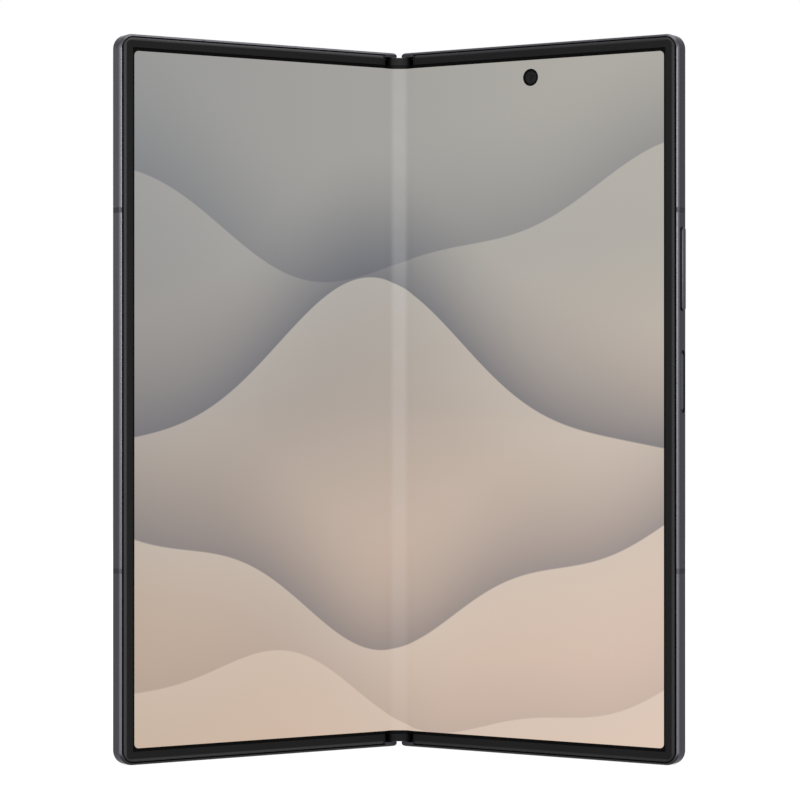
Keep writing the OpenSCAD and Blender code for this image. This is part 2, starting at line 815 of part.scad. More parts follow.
module cover_camera() {
    color("#101013") {
        post(cover_eye[0], cover_eye[1], 2.6, bay_front, bay_front + 1.2);
        post(cover_eye[0], cover_eye[1], cover_eye_r, bay_front + 1, glass_y - glue_t);
    }
}

module back_glass() {
    color("#3c3c43") difference() {
        glass_panel();
        layer(glass_y - past, half_t + past) island_pill(glue_t - island_step);
        post(flash_x, flash_z, flash_r + 0.05, 0, half_t + past);
    }
}

module island_pill(grow) {
    translate([island_x, lens_z[1]]) rotate(90) pill(island_h + 2 * grow, island_w + 2 * grow);
}

// The island lies on the glass and reaches through it
module camera_island() {
    seat = island_front - window_t - glue_t;
    color("#34343a") difference() {
        union() {
            layer(half_t + glue_t, island_front) island_pill(0);
            layer(glass_y, half_t + bite) island_pill(-island_step);
        }
        for (z = lens_z) {
            post(island_x, z, lens_r - 0.5, 0, island_front + past);
            post(island_x, z, lens_r + 0.05, seat, island_front + past);
        }
    }
}

// The raised rings round the rear cameras
module camera_rings() {
    lip = 0.25;
    color("#1d1d20") for (z = lens_z) translate([island_x, island_front, z]) rotate([-90, 0, 0])
        rotate_extrude() polygon([[lens_r - 0.3, 0], [ring_r, 0], [ring_r, ring_rise - lip],
            [ring_r - lip, ring_rise], [lens_r + 0.3, ring_rise], [lens_r - 0.3, ring_rise - 2 * lip]]);
}

module camera_windows() {
    color("#0a0a0e") for (z = lens_z)
        post(island_x, z, lens_r, island_front - window_t, island_front - 0.02);
}

// Lens barrels on square sensor housings
module camera_modules() {
    base_t = 1.1;
    color("#1a1a1c") for (z = lens_z) {
        translate([island_x - 6, bay_front, z - 6]) cube([12, base_t, 12]);
        post(island_x, z, 5.4, bay_front + base_t / 2, island_front - window_t - 0.05);
    }
}

module flash_lens() {
    color("#f2ead0") {
        post(flash_x, flash_z, flash_r + 0.4, glass_y - 0.9, glass_y - 0.02);
        post(flash_x, flash_z, flash_r, glass_y - 0.1, half_t - 0.02);
    }
}

module front_camera() {
    color("#0d0d10") {
        post(eye_x, eye_z, eye_r - 0.03, screen_y + 0.05, bay_front + bite);
        translate([eye_x - 3, bay_front, eye_z - 3]) cube([6, 1.6, 6]);
    }
}

// ---------------------------------------------------------------- inside the halves

// A pouch cell, thinner at its tabbed top edge
module pouch(lo, hi) {
    step = 0.6;
    color("#2d2f33") {
        block(lo, [hi[0], hi[1], hi[2] - pouch_tab]);
        block([lo[0] + step, lo[1], hi[2] - pouch_tab - bite], [hi[0] - step, hi[1] - step, hi[2]]);
    }
}

module battery_left() {
    pouch([inner_x, bay_front, left_battery_z],
        [inner_w, display_y - 0.25, left_board_z - part_gap]);
}

module battery_right() {
    pouch([inner_x, bay_front, speaker_top + part_gap],
        [inner_w, glass_y - 0.25, main_board_z - part_gap / 2]);
}

// A circuit board with screening cans, each given as [x0, z0, x1, z1]
module board(lo, hi, cans) {
    color("#1f5b3a") block(lo, hi);
    color("#b9bbbe") for (c = cans)
        block([c[0], hi[1] - 0.01, c[1]], [c[2], hi[1] + can_t, c[3]]);
}

module board_left() {
    z0 = left_board_z + can_inset;
    z1 = left_board_z + left_board_h - can_inset;
    split = inner_x + (inner_w - inner_x) * 0.42;
    board([inner_x, bay_front, left_board_z], [inner_w, bay_front + board_t, left_board_z + left_board_h],
        [[inner_x + can_inset, z0, split, z1], [split + can_inset, z0, inner_w - can_inset, z1 - 2]]);
}

module main_board() {
    x0 = inner_x + can_inset / 2;
    x1 = flash_x - flash_r - 3;
    z0 = main_board_z + can_inset;
    z1 = eye_z - 5.5;
    middle = (z0 + z1) / 2;
    board([inner_x, bay_front, main_board_z], [x1, bay_front + board_t, z1],
        [[x0, z0, x1 - can_inset, middle - can_inset / 2],
        [x0, middle + can_inset / 2, x1 - can_inset, z1 - can_inset]]);
}

module earpiece_speaker() {
    color("#26272a") block([earpiece_x - earpiece_w / 2, bay_front, body_h - wall_t - earpiece_h],
        [earpiece_x + earpiece_w / 2, display_y - 0.1, body_h - wall_t - 0.05]);
}

module loudspeaker() {
    color("#26272a") block([loudspeaker_x - speaker_w / 2, bay_front, wall_t + 0.05],
        [loudspeaker_x + speaker_w / 2, glass_y - 0.1, speaker_top]);
}

module vibration_motor() {
    color("#b5b7ba") block([inner_x, bay_front, motor_z],
        [inner_x + motor_w, glass_y - 0.2, motor_z + motor_l]);
}

// The socket's shell and the tongue that stands in it
module usb_socket() {
    back = 0.6;
    color("#9ea0a3") translate([socket_x, port_y, wall_t + 0.02]) {
        difference() {
            linear_extrude(socket_l) pill(socket_w + 2 * socket_skin, socket_h + 2 * socket_skin);
            translate([0, 0, -past]) linear_extrude(socket_l + past - back) pill(socket_w, socket_h);
        }
        block([-3.34, -0.35, 0.5], [3.34, 0.35, socket_l - back + bite]);
    }
}

module card_reader() {
    skin = 0.12;
    w = tray_body_w + 2 * key_gap;
    h = tray_body_t + 2 * key_gap;
    color("#a3a5a8") translate([tray_x, tray_y, body_h]) difference() {
        block([-w / 2 - skin, -h / 2 - skin, reader_z - body_h],
            [w / 2 + skin, h / 2 + skin, -wall_t - 0.3]);
        block([-w / 2, -h / 2, reader_z - body_h + skin], [w / 2, h / 2, 0]);
    }
}

// The tray's face fills its mouth, and the frame behind it holds the card
module card_tray() {
    color("#55555c") translate([tray_x, tray_y, body_h - tray_recess]) difference() {
        union() {
            translate([0, 0, -tray_face_t]) linear_extrude(tray_face_t) pill(tray_w, tray_t);
            block([-tray_body_w / 2, -tray_body_t / 2, -tray_l],
                [tray_body_w / 2, tray_body_t / 2, bite - tray_face_t]);
        }
        block([0.8 - tray_body_w / 2, -past, 1 - tray_l], [tray_body_w / 2 - 0.8, 0.1, -5]);
        translate([tray_w / 2 - 1.6, 0, -1.6]) cylinder(r = pin_hole_r, h = past + 1.6);
    }
}

// A key: a bar with round ends, held by a flange behind the wall
module key(len, z, proud) {
    inner = half_w - wall_t;
    color("#5b5b62") translate([0, key_y, z]) rotate([0, 90, 0]) {
        translate([0, 0, inner - key_reach]) linear_extrude(wall_t + key_reach + proud)
            pill(len, key_w);
        translate([0, 0, inner - 0.03 - key_flange_t]) linear_extrude(key_flange_t)
            pill(len + 1.2, key_w + 0.4);
    }
}

// Domed switches on a strip behind the keys
module key_switches() {
    x1 = half_w - wall_t - key_reach - key_travel;
    color("#c4b48a") block([x1 - 0.55, key_y - 0.8, power_z - power_len / 2],
        [x1 - 0.35, key_y + 0.8, volume_z + volume_len / 2]);
    color("#d9dadb") for (z = [power_z, volume_z - volume_len / 3, volume_z + volume_len / 3])
        translate([x1 - 0.4, key_y, z]) rotate([0, 90, 0]) cylinder(r1 = 0.75, r2 = 0.5, h = 0.36);
}

// ---------------------------------------------------------------- the phone

hinge_housing();
hinge_cap(true);  // hinge_cap_top
hinge_cap(false);  // hinge_cap_bottom
at_end(true) rail_block(module_z);  // rail_block_top
rail_block(block_mid_z);  // rail_block_middle
rail_block(module_z);  // rail_block_bottom
gear_bracket(true);  // gear_bracket_top
gear_bracket(false);  // gear_bracket_bottom
gear_shafts();
torque_springs();
cam_slider(true);  // cam_slider_top
cam_slider(false);  // cam_slider_bottom
idler_gear(-1, true);  // idler_gear_left_top
idler_gear(1, true);  // idler_gear_right_top
idler_gear(-1, false);  // idler_gear_left_bottom
idler_gear(1, false);  // idler_gear_right_bottom
timing_arm(-1, true);  // timing_arm_left_top
timing_arm(1, true);  // timing_arm_right_top
timing_arm(-1, false);  // timing_arm_left_bottom
timing_arm(1, false);  // timing_arm_right_bottom
screen_fold();
screen_plate_fold();
left() frame_left();
left() surround();  // surround_left
left() color("#101012") screen_panel();  // screen_left
left() color("#8b8c90") screen_plate();  // screen_plate_left
left() rail_arms(false);  // rail_arms_left
left() arm_screws(false);  // arm_screws_left
left() antenna_bands();  // antenna_bands_left
left() cover_glass();
left() cover_display();
left() cover_camera();
left() battery_left();
left() board_left();
left() earpiece_speaker();
left() card_reader();
left() card_tray();
right() frame_right();
right() surround();  // surround_right
right() screen_right();
right() screen_plate_right();
right() rail_arms(true);  // rail_arms_right
right() arm_screws(true);  // arm_screws_right
right() antenna_bands();  // antenna_bands_right
right() back_glass();
right() camera_island();
right() camera_rings();
right() camera_windows();
right() camera_modules();
right() flash_lens();
right() front_camera();
right() battery_right();
right() main_board();
right() loudspeaker();
right() vibration_motor();
right() usb_socket();
right() key(volume_len, volume_z, volume_proud);  // volume_key
right() key(power_len, power_z, -power_sunk);  // power_key
right() key_switches();
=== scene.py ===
# %% [markdown]
# # A book-style folding smartphone
# The phone stands on its short edges, part folded, with its inner screen towards us.
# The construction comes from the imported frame: every solid there keeps its place and size.
# This script gives each solid its finish, and adds what a solid can't show: a lit picture that
# bends with the screen, lenses behind the cameras' windows, cloth behind the speaker's holes.

# %% Load the frame
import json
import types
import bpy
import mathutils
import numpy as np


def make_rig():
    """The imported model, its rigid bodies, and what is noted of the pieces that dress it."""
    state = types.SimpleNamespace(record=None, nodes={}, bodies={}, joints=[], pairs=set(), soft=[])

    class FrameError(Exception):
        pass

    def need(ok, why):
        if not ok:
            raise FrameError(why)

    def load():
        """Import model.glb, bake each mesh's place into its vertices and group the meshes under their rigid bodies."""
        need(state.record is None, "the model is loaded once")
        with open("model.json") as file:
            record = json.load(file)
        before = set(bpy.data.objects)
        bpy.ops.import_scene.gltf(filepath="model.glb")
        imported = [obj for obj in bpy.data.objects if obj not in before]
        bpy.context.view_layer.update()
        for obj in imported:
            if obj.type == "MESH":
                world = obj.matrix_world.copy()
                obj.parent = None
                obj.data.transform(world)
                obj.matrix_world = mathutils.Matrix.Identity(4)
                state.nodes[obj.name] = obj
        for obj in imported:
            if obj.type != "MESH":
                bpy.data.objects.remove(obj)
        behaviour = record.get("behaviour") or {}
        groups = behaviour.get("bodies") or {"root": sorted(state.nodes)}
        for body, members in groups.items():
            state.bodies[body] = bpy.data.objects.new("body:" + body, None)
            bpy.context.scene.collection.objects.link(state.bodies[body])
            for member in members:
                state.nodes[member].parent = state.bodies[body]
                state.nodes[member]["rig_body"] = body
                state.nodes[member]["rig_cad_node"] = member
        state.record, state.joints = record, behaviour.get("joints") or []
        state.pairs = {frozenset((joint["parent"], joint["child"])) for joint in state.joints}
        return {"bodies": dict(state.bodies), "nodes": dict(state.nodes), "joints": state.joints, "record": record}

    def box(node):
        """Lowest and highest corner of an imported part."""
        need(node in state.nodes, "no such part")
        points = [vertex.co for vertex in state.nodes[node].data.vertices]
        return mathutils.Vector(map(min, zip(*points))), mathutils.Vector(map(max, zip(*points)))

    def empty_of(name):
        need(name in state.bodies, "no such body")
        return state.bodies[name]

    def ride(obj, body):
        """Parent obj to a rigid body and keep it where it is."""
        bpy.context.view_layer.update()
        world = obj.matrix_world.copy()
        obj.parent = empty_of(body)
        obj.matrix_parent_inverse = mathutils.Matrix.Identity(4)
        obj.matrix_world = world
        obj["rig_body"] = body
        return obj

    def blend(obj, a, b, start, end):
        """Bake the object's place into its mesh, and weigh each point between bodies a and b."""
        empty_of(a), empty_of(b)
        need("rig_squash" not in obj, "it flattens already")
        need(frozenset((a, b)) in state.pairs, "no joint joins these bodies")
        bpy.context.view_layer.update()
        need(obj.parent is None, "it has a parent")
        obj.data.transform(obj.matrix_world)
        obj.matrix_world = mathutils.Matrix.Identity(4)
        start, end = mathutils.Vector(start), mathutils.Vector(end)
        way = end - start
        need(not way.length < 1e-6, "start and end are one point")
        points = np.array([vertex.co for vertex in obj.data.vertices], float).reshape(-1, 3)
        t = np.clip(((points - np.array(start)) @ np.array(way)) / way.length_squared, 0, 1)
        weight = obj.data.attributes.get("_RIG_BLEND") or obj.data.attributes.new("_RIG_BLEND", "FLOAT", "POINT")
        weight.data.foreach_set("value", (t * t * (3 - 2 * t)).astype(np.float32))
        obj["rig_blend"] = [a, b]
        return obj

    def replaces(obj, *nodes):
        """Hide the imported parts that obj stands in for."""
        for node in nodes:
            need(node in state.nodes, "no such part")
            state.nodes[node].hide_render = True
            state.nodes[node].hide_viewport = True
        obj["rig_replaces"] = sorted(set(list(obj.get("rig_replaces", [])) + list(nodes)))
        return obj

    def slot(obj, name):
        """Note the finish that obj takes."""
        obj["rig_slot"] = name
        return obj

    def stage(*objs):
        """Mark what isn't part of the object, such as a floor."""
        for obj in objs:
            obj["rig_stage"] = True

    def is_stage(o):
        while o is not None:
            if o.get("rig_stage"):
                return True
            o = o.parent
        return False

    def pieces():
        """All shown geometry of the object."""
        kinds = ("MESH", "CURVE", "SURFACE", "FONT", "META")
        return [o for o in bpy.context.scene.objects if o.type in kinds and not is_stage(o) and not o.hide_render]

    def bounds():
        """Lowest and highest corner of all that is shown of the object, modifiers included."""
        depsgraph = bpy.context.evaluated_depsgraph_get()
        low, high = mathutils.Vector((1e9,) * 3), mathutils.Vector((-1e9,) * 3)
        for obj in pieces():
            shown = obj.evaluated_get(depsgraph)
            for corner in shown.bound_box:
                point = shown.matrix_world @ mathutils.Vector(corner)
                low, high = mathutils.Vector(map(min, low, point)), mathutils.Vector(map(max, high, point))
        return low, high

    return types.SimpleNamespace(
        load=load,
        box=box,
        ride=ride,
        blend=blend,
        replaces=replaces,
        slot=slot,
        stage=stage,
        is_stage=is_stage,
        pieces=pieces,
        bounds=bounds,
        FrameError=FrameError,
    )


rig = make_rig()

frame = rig.load()

import json
from math import cos, pi, radians, sin

import bpy
from mathutils import Vector

cad_box = [list(corner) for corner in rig.bounds()]
print("bodies", len(frame["bodies"]), "nodes", len(frame["nodes"]))

# %% [markdown]
# ## Where things are
# A maker measures each half as it lies flat: out from the hinge, back from the raised surround,
# and up from the foot. The half is then turned about its own pivot. `on_half` does that turn, so
# the rest of the script can be written in flat sizes, and `flat_box` undoes it to read a solid's
# own sizes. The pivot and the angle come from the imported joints, because a copied number could
# drift from the real hinge.

# %% Flat places become real places
MM = 0.001
joints = {joint["name"]: joint for joint in frame["joints"]}
pivot = Vector(joints["right_fold"]["pos_m"])
fold = radians(-joints["right_fold"]["range_deg"][0])
PIVOT_DEPTH = 1.05 * MM
BODY_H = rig.box("frame_right")[1].z
HALF_W = 71.6 * MM
spine_y = pivot.y - PIVOT_DEPTH
sides = {-1: "left", 1: "right"}


def on_half(side, out, back, up, turn=1.0):
    """A flat place on a half (side -1 is left, 1 is right), with a share of the fold's turn."""
    a = fold * turn
    dx = out - pivot.x
    dy = back - PIVOT_DEPTH
    x = pivot.x + dx * cos(a) + dy * sin(a)
    y = pivot.y - dx * sin(a) + dy * cos(a)
    return Vector((side * x, y, up))


def laid_flat(side, place):
    """The flat place on a half of a real place: on_half the other way round."""
    dx, dy = side * place.x - pivot.x, place.y - pivot.y
    return (pivot.x + dx * cos(fold) - dy * sin(fold),
            PIVOT_DEPTH + dx * sin(fold) + dy * cos(fold), place.z)


def flat_box(node, side):
    """A solid's lowest and highest (out, back, up), as its half lies flat."""
    places = [laid_flat(side, v.co) for v in frame["nodes"][node].data.vertices]
    return [min(axis) for axis in zip(*places)], [max(axis) for axis in zip(*places)]


print("fold of each half", round(fold * 180 / pi, 2), "degrees; height", round(BODY_H, 4))

# %% [markdown]
# ## The camera
# The phone is seen straight on from 0.68 m, level with its middle, through a long lens.
# The near edges then look taller than the hinge, by the amount that the fold brings them closer.

# %% Camera
LENS = 134.4
VIEW_DISTANCE = 0.682
AIM_RIGHT, AIM_DOWN = 0.18 * MM, 0.09 * MM
camera_data = bpy.data.cameras.new("view_camera")
camera_data.lens = LENS
camera_data.sensor_width = 36.0
camera = bpy.data.objects.new("view_camera", camera_data)
camera.location = (AIM_RIGHT, spine_y - VIEW_DISTANCE, BODY_H / 2 - AIM_DOWN)
camera.rotation_euler = (pi / 2, 0, 0)
bpy.context.scene.collection.objects.link(camera)
bpy.context.scene.camera = camera
print("camera at", tuple(round(c, 4) for c in camera.location))

# %% [markdown]
# ## The room
# Dark metal shows little of its own colour: what we see is what it mirrors. The world here is
# plain white to the camera and in mirrors, which gives the metal its even tone, and it is
# dimmer as light. Each softbox is then placed by what should mirror it. The front wall of three
# boxes shows as a pale line on the rounded rims and as a soft band in the screen's crease. It
# stops short of the direction that the two flat halves mirror, so that the picture stays clear.

# %% World, lamps and floor
scene = bpy.context.scene
scene.view_settings.view_transform = "Standard"
WHITE = (1, 1, 1, 1)
LAMP_DISTANCE = 1.0
# Each lamp's name, its bearing and rise in degrees, its width and height in metres, and how
# bright it looks in a mirror beside the white world
LAMPS = (("front", 0, 7, 0.44, 0.24, 7.0), ("front_left", -27, 7, 0.5, 0.24, 3.6),
         ("front_right", 27, 7, 0.5, 0.24, 3.6), ("left", -101, 9, 0.7, 0.3, 0.9),
         ("above", 60, 78, 1.0, 0.8, 2.4), ("behind", 180, 16, 1.2, 0.4, 1.5))


def link(tree, source, target):
    """Joins a node's output to another's input."""
    tree.links.new(source, target)


def feed(tree, value, socket):
    """Sets a socket to a number or colour, or links it to a node's output."""
    if isinstance(value, bpy.types.NodeSocket):
        link(tree, value, socket)
    else:
        socket.default_value = value


def computing(tree, operation, first, second=0.0):
    """One step of arithmetic on numbers or outputs."""
    node = tree.nodes.new("ShaderNodeMath")
    node.operation = operation
    feed(tree, first, node.inputs[0])
    feed(tree, second, node.inputs[1])
    return node.outputs[0]


def seen_rays(tree):
    """1 for a ray that the camera sees directly, in a mirror or through glass, else 0."""
    path = tree.nodes.new("ShaderNodeLightPath")
    seen = path.outputs["Is Camera Ray"]
    for name in ("Is Glossy Ray", "Is Transmission Ray"):
        seen = computing(tree, "MAXIMUM", seen, path.outputs[name])
    return seen


def world_light(seen_level, cast_level):
    """White to look at and to mirror, and dimmer as light on the object."""
    world = bpy.data.worlds.new("studio")
    world.use_nodes = True
    tree = world.node_tree
    tree.nodes.clear()
    output = tree.nodes.new("ShaderNodeOutputWorld")
    mix = tree.nodes.new("ShaderNodeMixShader")
    link(tree, seen_rays(tree), mix.inputs[0])
    for slot, level in ((1, cast_level), (2, seen_level)):
        glow = tree.nodes.new("ShaderNodeBackground")
        glow.inputs["Color"].default_value = WHITE
        glow.inputs["Strength"].default_value = level
        link(tree, glow.outputs[0], mix.inputs[slot])
    link(tree, mix.outputs[0], output.inputs["Surface"])
    scene.world = world


def softbox(name, bearing, rise, width, height, brightness):
    """A rectangular lamp. Bearing 0 is in front of the phone and 90 is to its right."""
    data = bpy.data.lights.new(name, "AREA")
    data.shape = "RECTANGLE"
    data.size = width
    data.size_y = height
    data.energy = brightness * pi * width * height
    lamp = bpy.data.objects.new(name, data)
    around, up = radians(bearing), radians(rise)
    away = Vector((sin(around) * cos(up), -cos(around) * cos(up), sin(up)))
    lamp.location = Vector((0, 0, BODY_H / 2)) + away * LAMP_DISTANCE
    lamp.rotation_euler = (-away).to_track_quat("-Z", "Y").to_euler()
    scene.collection.objects.link(lamp)


world_light(seen_level=1.0, cast_level=0.4)
for lamp in LAMPS:
    softbox(*lamp)


def floor_plane(glow_level, paint):
    """A pale floor that looks white and keeps a faint shadow."""
    reach = 3.0
    mesh = bpy.data.meshes.new("floor")
    corners = [(-reach, -reach, 0), (reach, -reach, 0), (reach, reach, 0), (-reach, reach, 0)]
    mesh.from_pydata(corners, [], [(0, 1, 2, 3)])
    floor = bpy.data.objects.new("floor", mesh)
    scene.collection.objects.link(floor)
    material = bpy.data.materials.new("floor_white")
    material.use_nodes = True
    tree = material.node_tree
    tree.nodes.clear()
    output = tree.nodes.new("ShaderNodeOutputMaterial")
    matt = tree.nodes.new("ShaderNodeBsdfDiffuse")
    matt.inputs["Color"].default_value = (paint, paint, paint, 1)
    glow = tree.nodes.new("ShaderNodeEmission")
    add = tree.nodes.new("ShaderNodeAddShader")
    link(tree, computing(tree, "MULTIPLY", seen_rays(tree), glow_level), glow.inputs["Strength"])
    link(tree, matt.outputs[0], add.inputs[0])
    link(tree, glow.outputs[0], add.inputs[1])
    link(tree, add.outputs[0], output.inputs["Surface"])
    mesh.materials.append(material)
    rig.stage(floor)


floor_plane(glow_level=0.88, paint=0.3)
print("lamps", len(LAMPS))

# %% [markdown]
# ## Helpers for finishes
# Every finish starts from Blender's Principled shader. Its pattern comes from noise in the
# piece's own space, so it moves with the piece when the phone folds. A colour is written as a
# maker would read it off a screen, from 0 to 255, and `tone` turns it into the linear value that
# the shader works in.

# %% Colour, grain and relief
def tone(red, green, blue):
    """A screen colour, from 0 to 255 each, as the linear colour that a shader takes."""
    def linear(v):
        v = v / 255
        return v / 12.92 if v <= 0.04045 else ((v + 0.055) / 1.055) ** 2.4
    return (linear(red), linear(green), linear(blue), 1)


def new_finish(name):
    """A material with its tree and its Principled shader."""
    material = bpy.data.materials.new(name)
    material.use_nodes = True
    return material, material.node_tree, material.node_tree.nodes["Principled BSDF"]


def own(tree, what="Object"):
    """A piece's own place or normal at each point, which moves with the piece."""
    return tree.nodes.new("ShaderNodeTexCoord").outputs[what]


def split(tree, vector):
    """The three numbers of a vector."""
    parts = tree.nodes.new("ShaderNodeSeparateXYZ")
    link(tree, vector, parts.inputs[0])
    return parts.outputs


def grain(tree, scale, stretch=(1, 1, 1), detail=3.0):
    """Noise fixed to the piece. A stretch below 1 along an axis draws it out, as brushing does."""
    mapping = tree.nodes.new("ShaderNodeMapping")
    mapping.inputs["Scale"].default_value = stretch
    noise = tree.nodes.new("ShaderNodeTexNoise")
    noise.inputs["Scale"].default_value = scale
    noise.inputs["Detail"].default_value = detail
    link(tree, own(tree), mapping.inputs["Vector"])
    link(tree, mapping.outputs[0], noise.inputs["Vector"])
    return noise.outputs["Fac"]


def spread(tree, value, low, high, start=0.35, stop=0.65):
    """Maps a value's run from start to stop onto low to high."""
    node = tree.nodes.new("ShaderNodeMapRange")
    node.inputs["From Min"].default_value = start
    node.inputs["From Max"].default_value = stop
    node.inputs["To Min"].default_value = low
    node.inputs["To Max"].default_value = high
    link(tree, value, node.inputs["Value"])
    return node.outputs["Result"]


def rising(tree, value, start, stop):
    """0 up to the start, and 1 from the stop on."""
    return spread(tree, value, 0.0, 1.0, start, stop)


def falling(tree, value, start, stop):
    """1 up to the start, and 0 from the stop on."""
    return spread(tree, value, 1.0, 0.0, start, stop)


def above(tree, value, level, soft):
    """1 where a value is above a level, with a soft step."""
    return rising(tree, value, level - soft, level + soft)


def product(tree, first, *others):
    """Shares multiplied, so that the result is 1 only where each of them is."""
    for other in others:
        first = computing(tree, "MULTIPLY", first, other)
    return first


def rest_of(tree, share):
    """What a share leaves of 1."""
    return computing(tree, "SUBTRACT", 1.0, share)


def mixed(tree, share, first, second):
    """A colour that goes from first to second with a share."""
    node = tree.nodes.new("ShaderNodeMix")
    node.data_type = "RGBA"
    feed(tree, share, node.inputs[0])
    feed(tree, first, node.inputs[6])
    feed(tree, second, node.inputs[7])
    return node.outputs[2]


def dye(tree, shader, share, first, second):
    """Gives a finish a colour that goes from first to second with a share."""
    link(tree, mixed(tree, share, first, second), shader.inputs["Base Color"])


def roughen(tree, shader, pattern, low, high):
    """Lets a pattern move a finish's roughness between two values."""
    link(tree, spread(tree, pattern, low, high), shader.inputs["Roughness"])


def relief(tree, shader, height, depth):
    """Raises the surface by a pattern, to a depth in metres."""
    bump = tree.nodes.new("ShaderNodeBump")
    bump.inputs["Distance"].default_value = depth
    link(tree, height, bump.inputs["Height"])
    link(tree, bump.outputs["Normal"], shader.inputs["Normal"])


print("a mid grey of 128 is", round(tone(128, 128, 128)[0], 3), "in linear light")

# %% [markdown]
# ## Metals
# The frame is blasted and anodised aluminium: a fine, even tooth with no direction. Machined
# steel inside the hinge has lines along the cut. Both are the same recipe, with the noise either
# round or drawn out. Dark anodising keeps a metal's mirror, so the shader stays metallic and only
# its colour is dark.

# %% Metal recipe
BLAST, CUT = 0.12 * MM, 0.3 * MM
# How far a finish's tone wanders, and how much of its mirror a metal keeps at a flat angle
TINT, GLANCE = 0.12, 0.7


def shades(colour):
    """A colour a little darker, and a little lighter."""
    return [tuple(c * level for c in colour[:3]) + (1,) for level in (1 - TINT, 1 + TINT)]


def metal(name, colour, rough, size, stretch=(1, 1, 1), depth=1e-6):
    """A metal with a tooth of a given size in metres, and a slow drift of tone."""
    material, tree, shader = new_finish(name)
    tooth = grain(tree, 1 / size, stretch)
    drift = grain(tree, 40.0, detail=1.0)
    fine = mixed(tree, spread(tree, tooth, 0.0, 1.0), *shades(colour))
    dye(tree, shader, spread(tree, drift, 0.0, 0.5), fine, colour)
    roughen(tree, shader, tooth, rough - 0.05, rough + 0.06)
    relief(tree, shader, tooth, depth)
    shader.inputs["Metallic"].default_value = 1.0
    shader.inputs["Specular Tint"].default_value = (GLANCE, GLANCE, GLANCE, 1)
    return material


finishes = {
    "graphite_metal": metal("blasted_graphite", tone(60, 59, 65), 0.3, BLAST),
    "key_metal": metal("key_graphite", tone(72, 71, 76), 0.3, BLAST),
    "hinge_metal": metal("spine_graphite", tone(58, 58, 62), 0.26, BLAST),
    "ring_metal": metal("turned_black", tone(40, 40, 43), 0.24, BLAST),
    "bearing_steel": metal("milled_steel", tone(168, 170, 173), 0.36, CUT, (1, 1, 0.08), 3e-6),
    "polished_steel": metal("polished_steel", tone(205, 206, 209), 0.16, CUT, (1, 1, 0.1), 1e-6),
    "gear_bronze": metal("bronze", tone(186, 156, 104), 0.32, CUT, (1, 1, 0.15), 2e-6),
    "screen_plate": metal("rolled_sheet", tone(150, 151, 154), 0.3, CUT, (1, 1, 0.05), 1e-6),
    "sheet_steel": metal("pressed_sheet", tone(176, 177, 180), 0.33, CUT, (0.1, 1, 1), 1e-6),
}
print("metals:", ", ".join(finishes))

# %% [markdown]
# ## Plastics
# The surround is a soft matt moulding, the antenna bands are filled resin ground flush with the
# metal, and the hinge's end caps are smoother. Dark plastic in a white room shows mostly what it
# mirrors, so the shine of each is kept low. Their grain is a spark-eroded mould's, a little
# coarser than the metal's tooth.

# %% Plastic recipe
MOULD = 0.2 * MM
CAP_SHINE = 0.07


def plastic(name, colour, rough, depth=4e-6, shine=0.5):
    """A moulded plastic: eroded grain, and a slow drift of tone."""
    material, tree, shader = new_finish(name)
    mould = grain(tree, 1 / MOULD)
    drift = grain(tree, 60.0, detail=1.0)
    dye(tree, shader, spread(tree, drift, 0.0, 1.0), *shades(colour))
    roughen(tree, shader, mould, rough - 0.06, rough + 0.06)
    relief(tree, shader, mould, depth)
    shader.inputs["Specular IOR Level"].default_value = shine
    return material


plastics = {
    "surround": plastic("soft_surround", tone(12, 12, 13), 0.45, shine=0.14),
    "band_plastic": plastic("antenna_resin", tone(34, 33, 38), 0.42, shine=0.08),
    "cap_plastic": plastic("cap_moulding", tone(27, 27, 28), 0.36, shine=CAP_SHINE),
    "camera_black": plastic("matt_black", tone(9, 9, 10), 0.5, shine=0.08),
    "speaker_plastic": plastic("speaker_case", tone(30, 30, 32), 0.5),
}
finishes.update(plastics)
print("plastics:", ", ".join(plastics))

# %% [markdown]
# Some finishes need to know where they are on the phone: a circuit board is green on the sheet
# and bright on the cans that stand on it. `flat_place` turns the piece's own space back into the
# flat sizes that the phone was drawn in, by undoing the fold.

# %% Flat coordinates inside a material
def flat_place(tree, side):
    """Out, back and up on a half as it lies flat, in metres, for a piece that rides on it."""
    turn = tree.nodes.new("ShaderNodeMapping")
    turn.inputs["Scale"].default_value = (side, 1, 1)
    turn.inputs["Rotation"].default_value = (0, 0, fold)
    turn.inputs["Location"].default_value = (
        pivot.x - pivot.x * cos(fold) + pivot.y * sin(fold),
        PIVOT_DEPTH - pivot.x * sin(fold) - pivot.y * cos(fold), 0)
    link(tree, own(tree), turn.inputs["Vector"])
    return turn.outputs[0], split(tree, turn.outputs[0])


print("flat coordinates undo a turn of", round(fold, 4), "rad")

# %% [markdown]
# Some finishes change along an edge, and most of these changes are painted light and shade. The
# frame's rounded front edge is a cut edge, paler than the blasted wall behind it, with a painted
# highlight on it that is palest along the sides, darker at the top and darkest at the bottom. The
# groove between frame and surround, its floor and the rim's crest beside it get painted shade. The
# antenna bands are cut with the frame, so they get the same painted highlight and shade in the
# same places. The soft surround gets a painted highlight, a paler grey along its outer edge and
# where it turns away, paler on the left half than on the right, and painted shade at its end by
# the hinge. The hinge's caps and housing get painted shade beside the fold. A painted line would
# slip when a size changes, so each share comes from what the surface itself knows: how deep it
# lies, and how squarely it faces the front.

# %% Painted highlights on the rims and the surround's edge, painted shade in the groove and by the hinge
# The painted highlight on the rim fades out between these depths behind its front
RIM_END, WALL_START = 0.9 * MM, 1.35 * MM
# Where the groove's painted shade begins and ends in depth, how soft its edge is, and its tone
GROOVE_DEEP, GROOVE_END, GROOVE_SOFT = 0.7 * MM, 0.85 * MM, 0.1 * MM
GROOVE_SHADE = tone(14, 14, 16)
# How squarely the rim's side, its crest and its flat face the front, and how far an end edge's
# faces turn up or down
RIM_SIDE, RIM_CREST, RIM_FLAT, END_TURN = (0.02, 0.24), (0.8, 0.88), (0.94, 0.98), (0.1, 0.3)
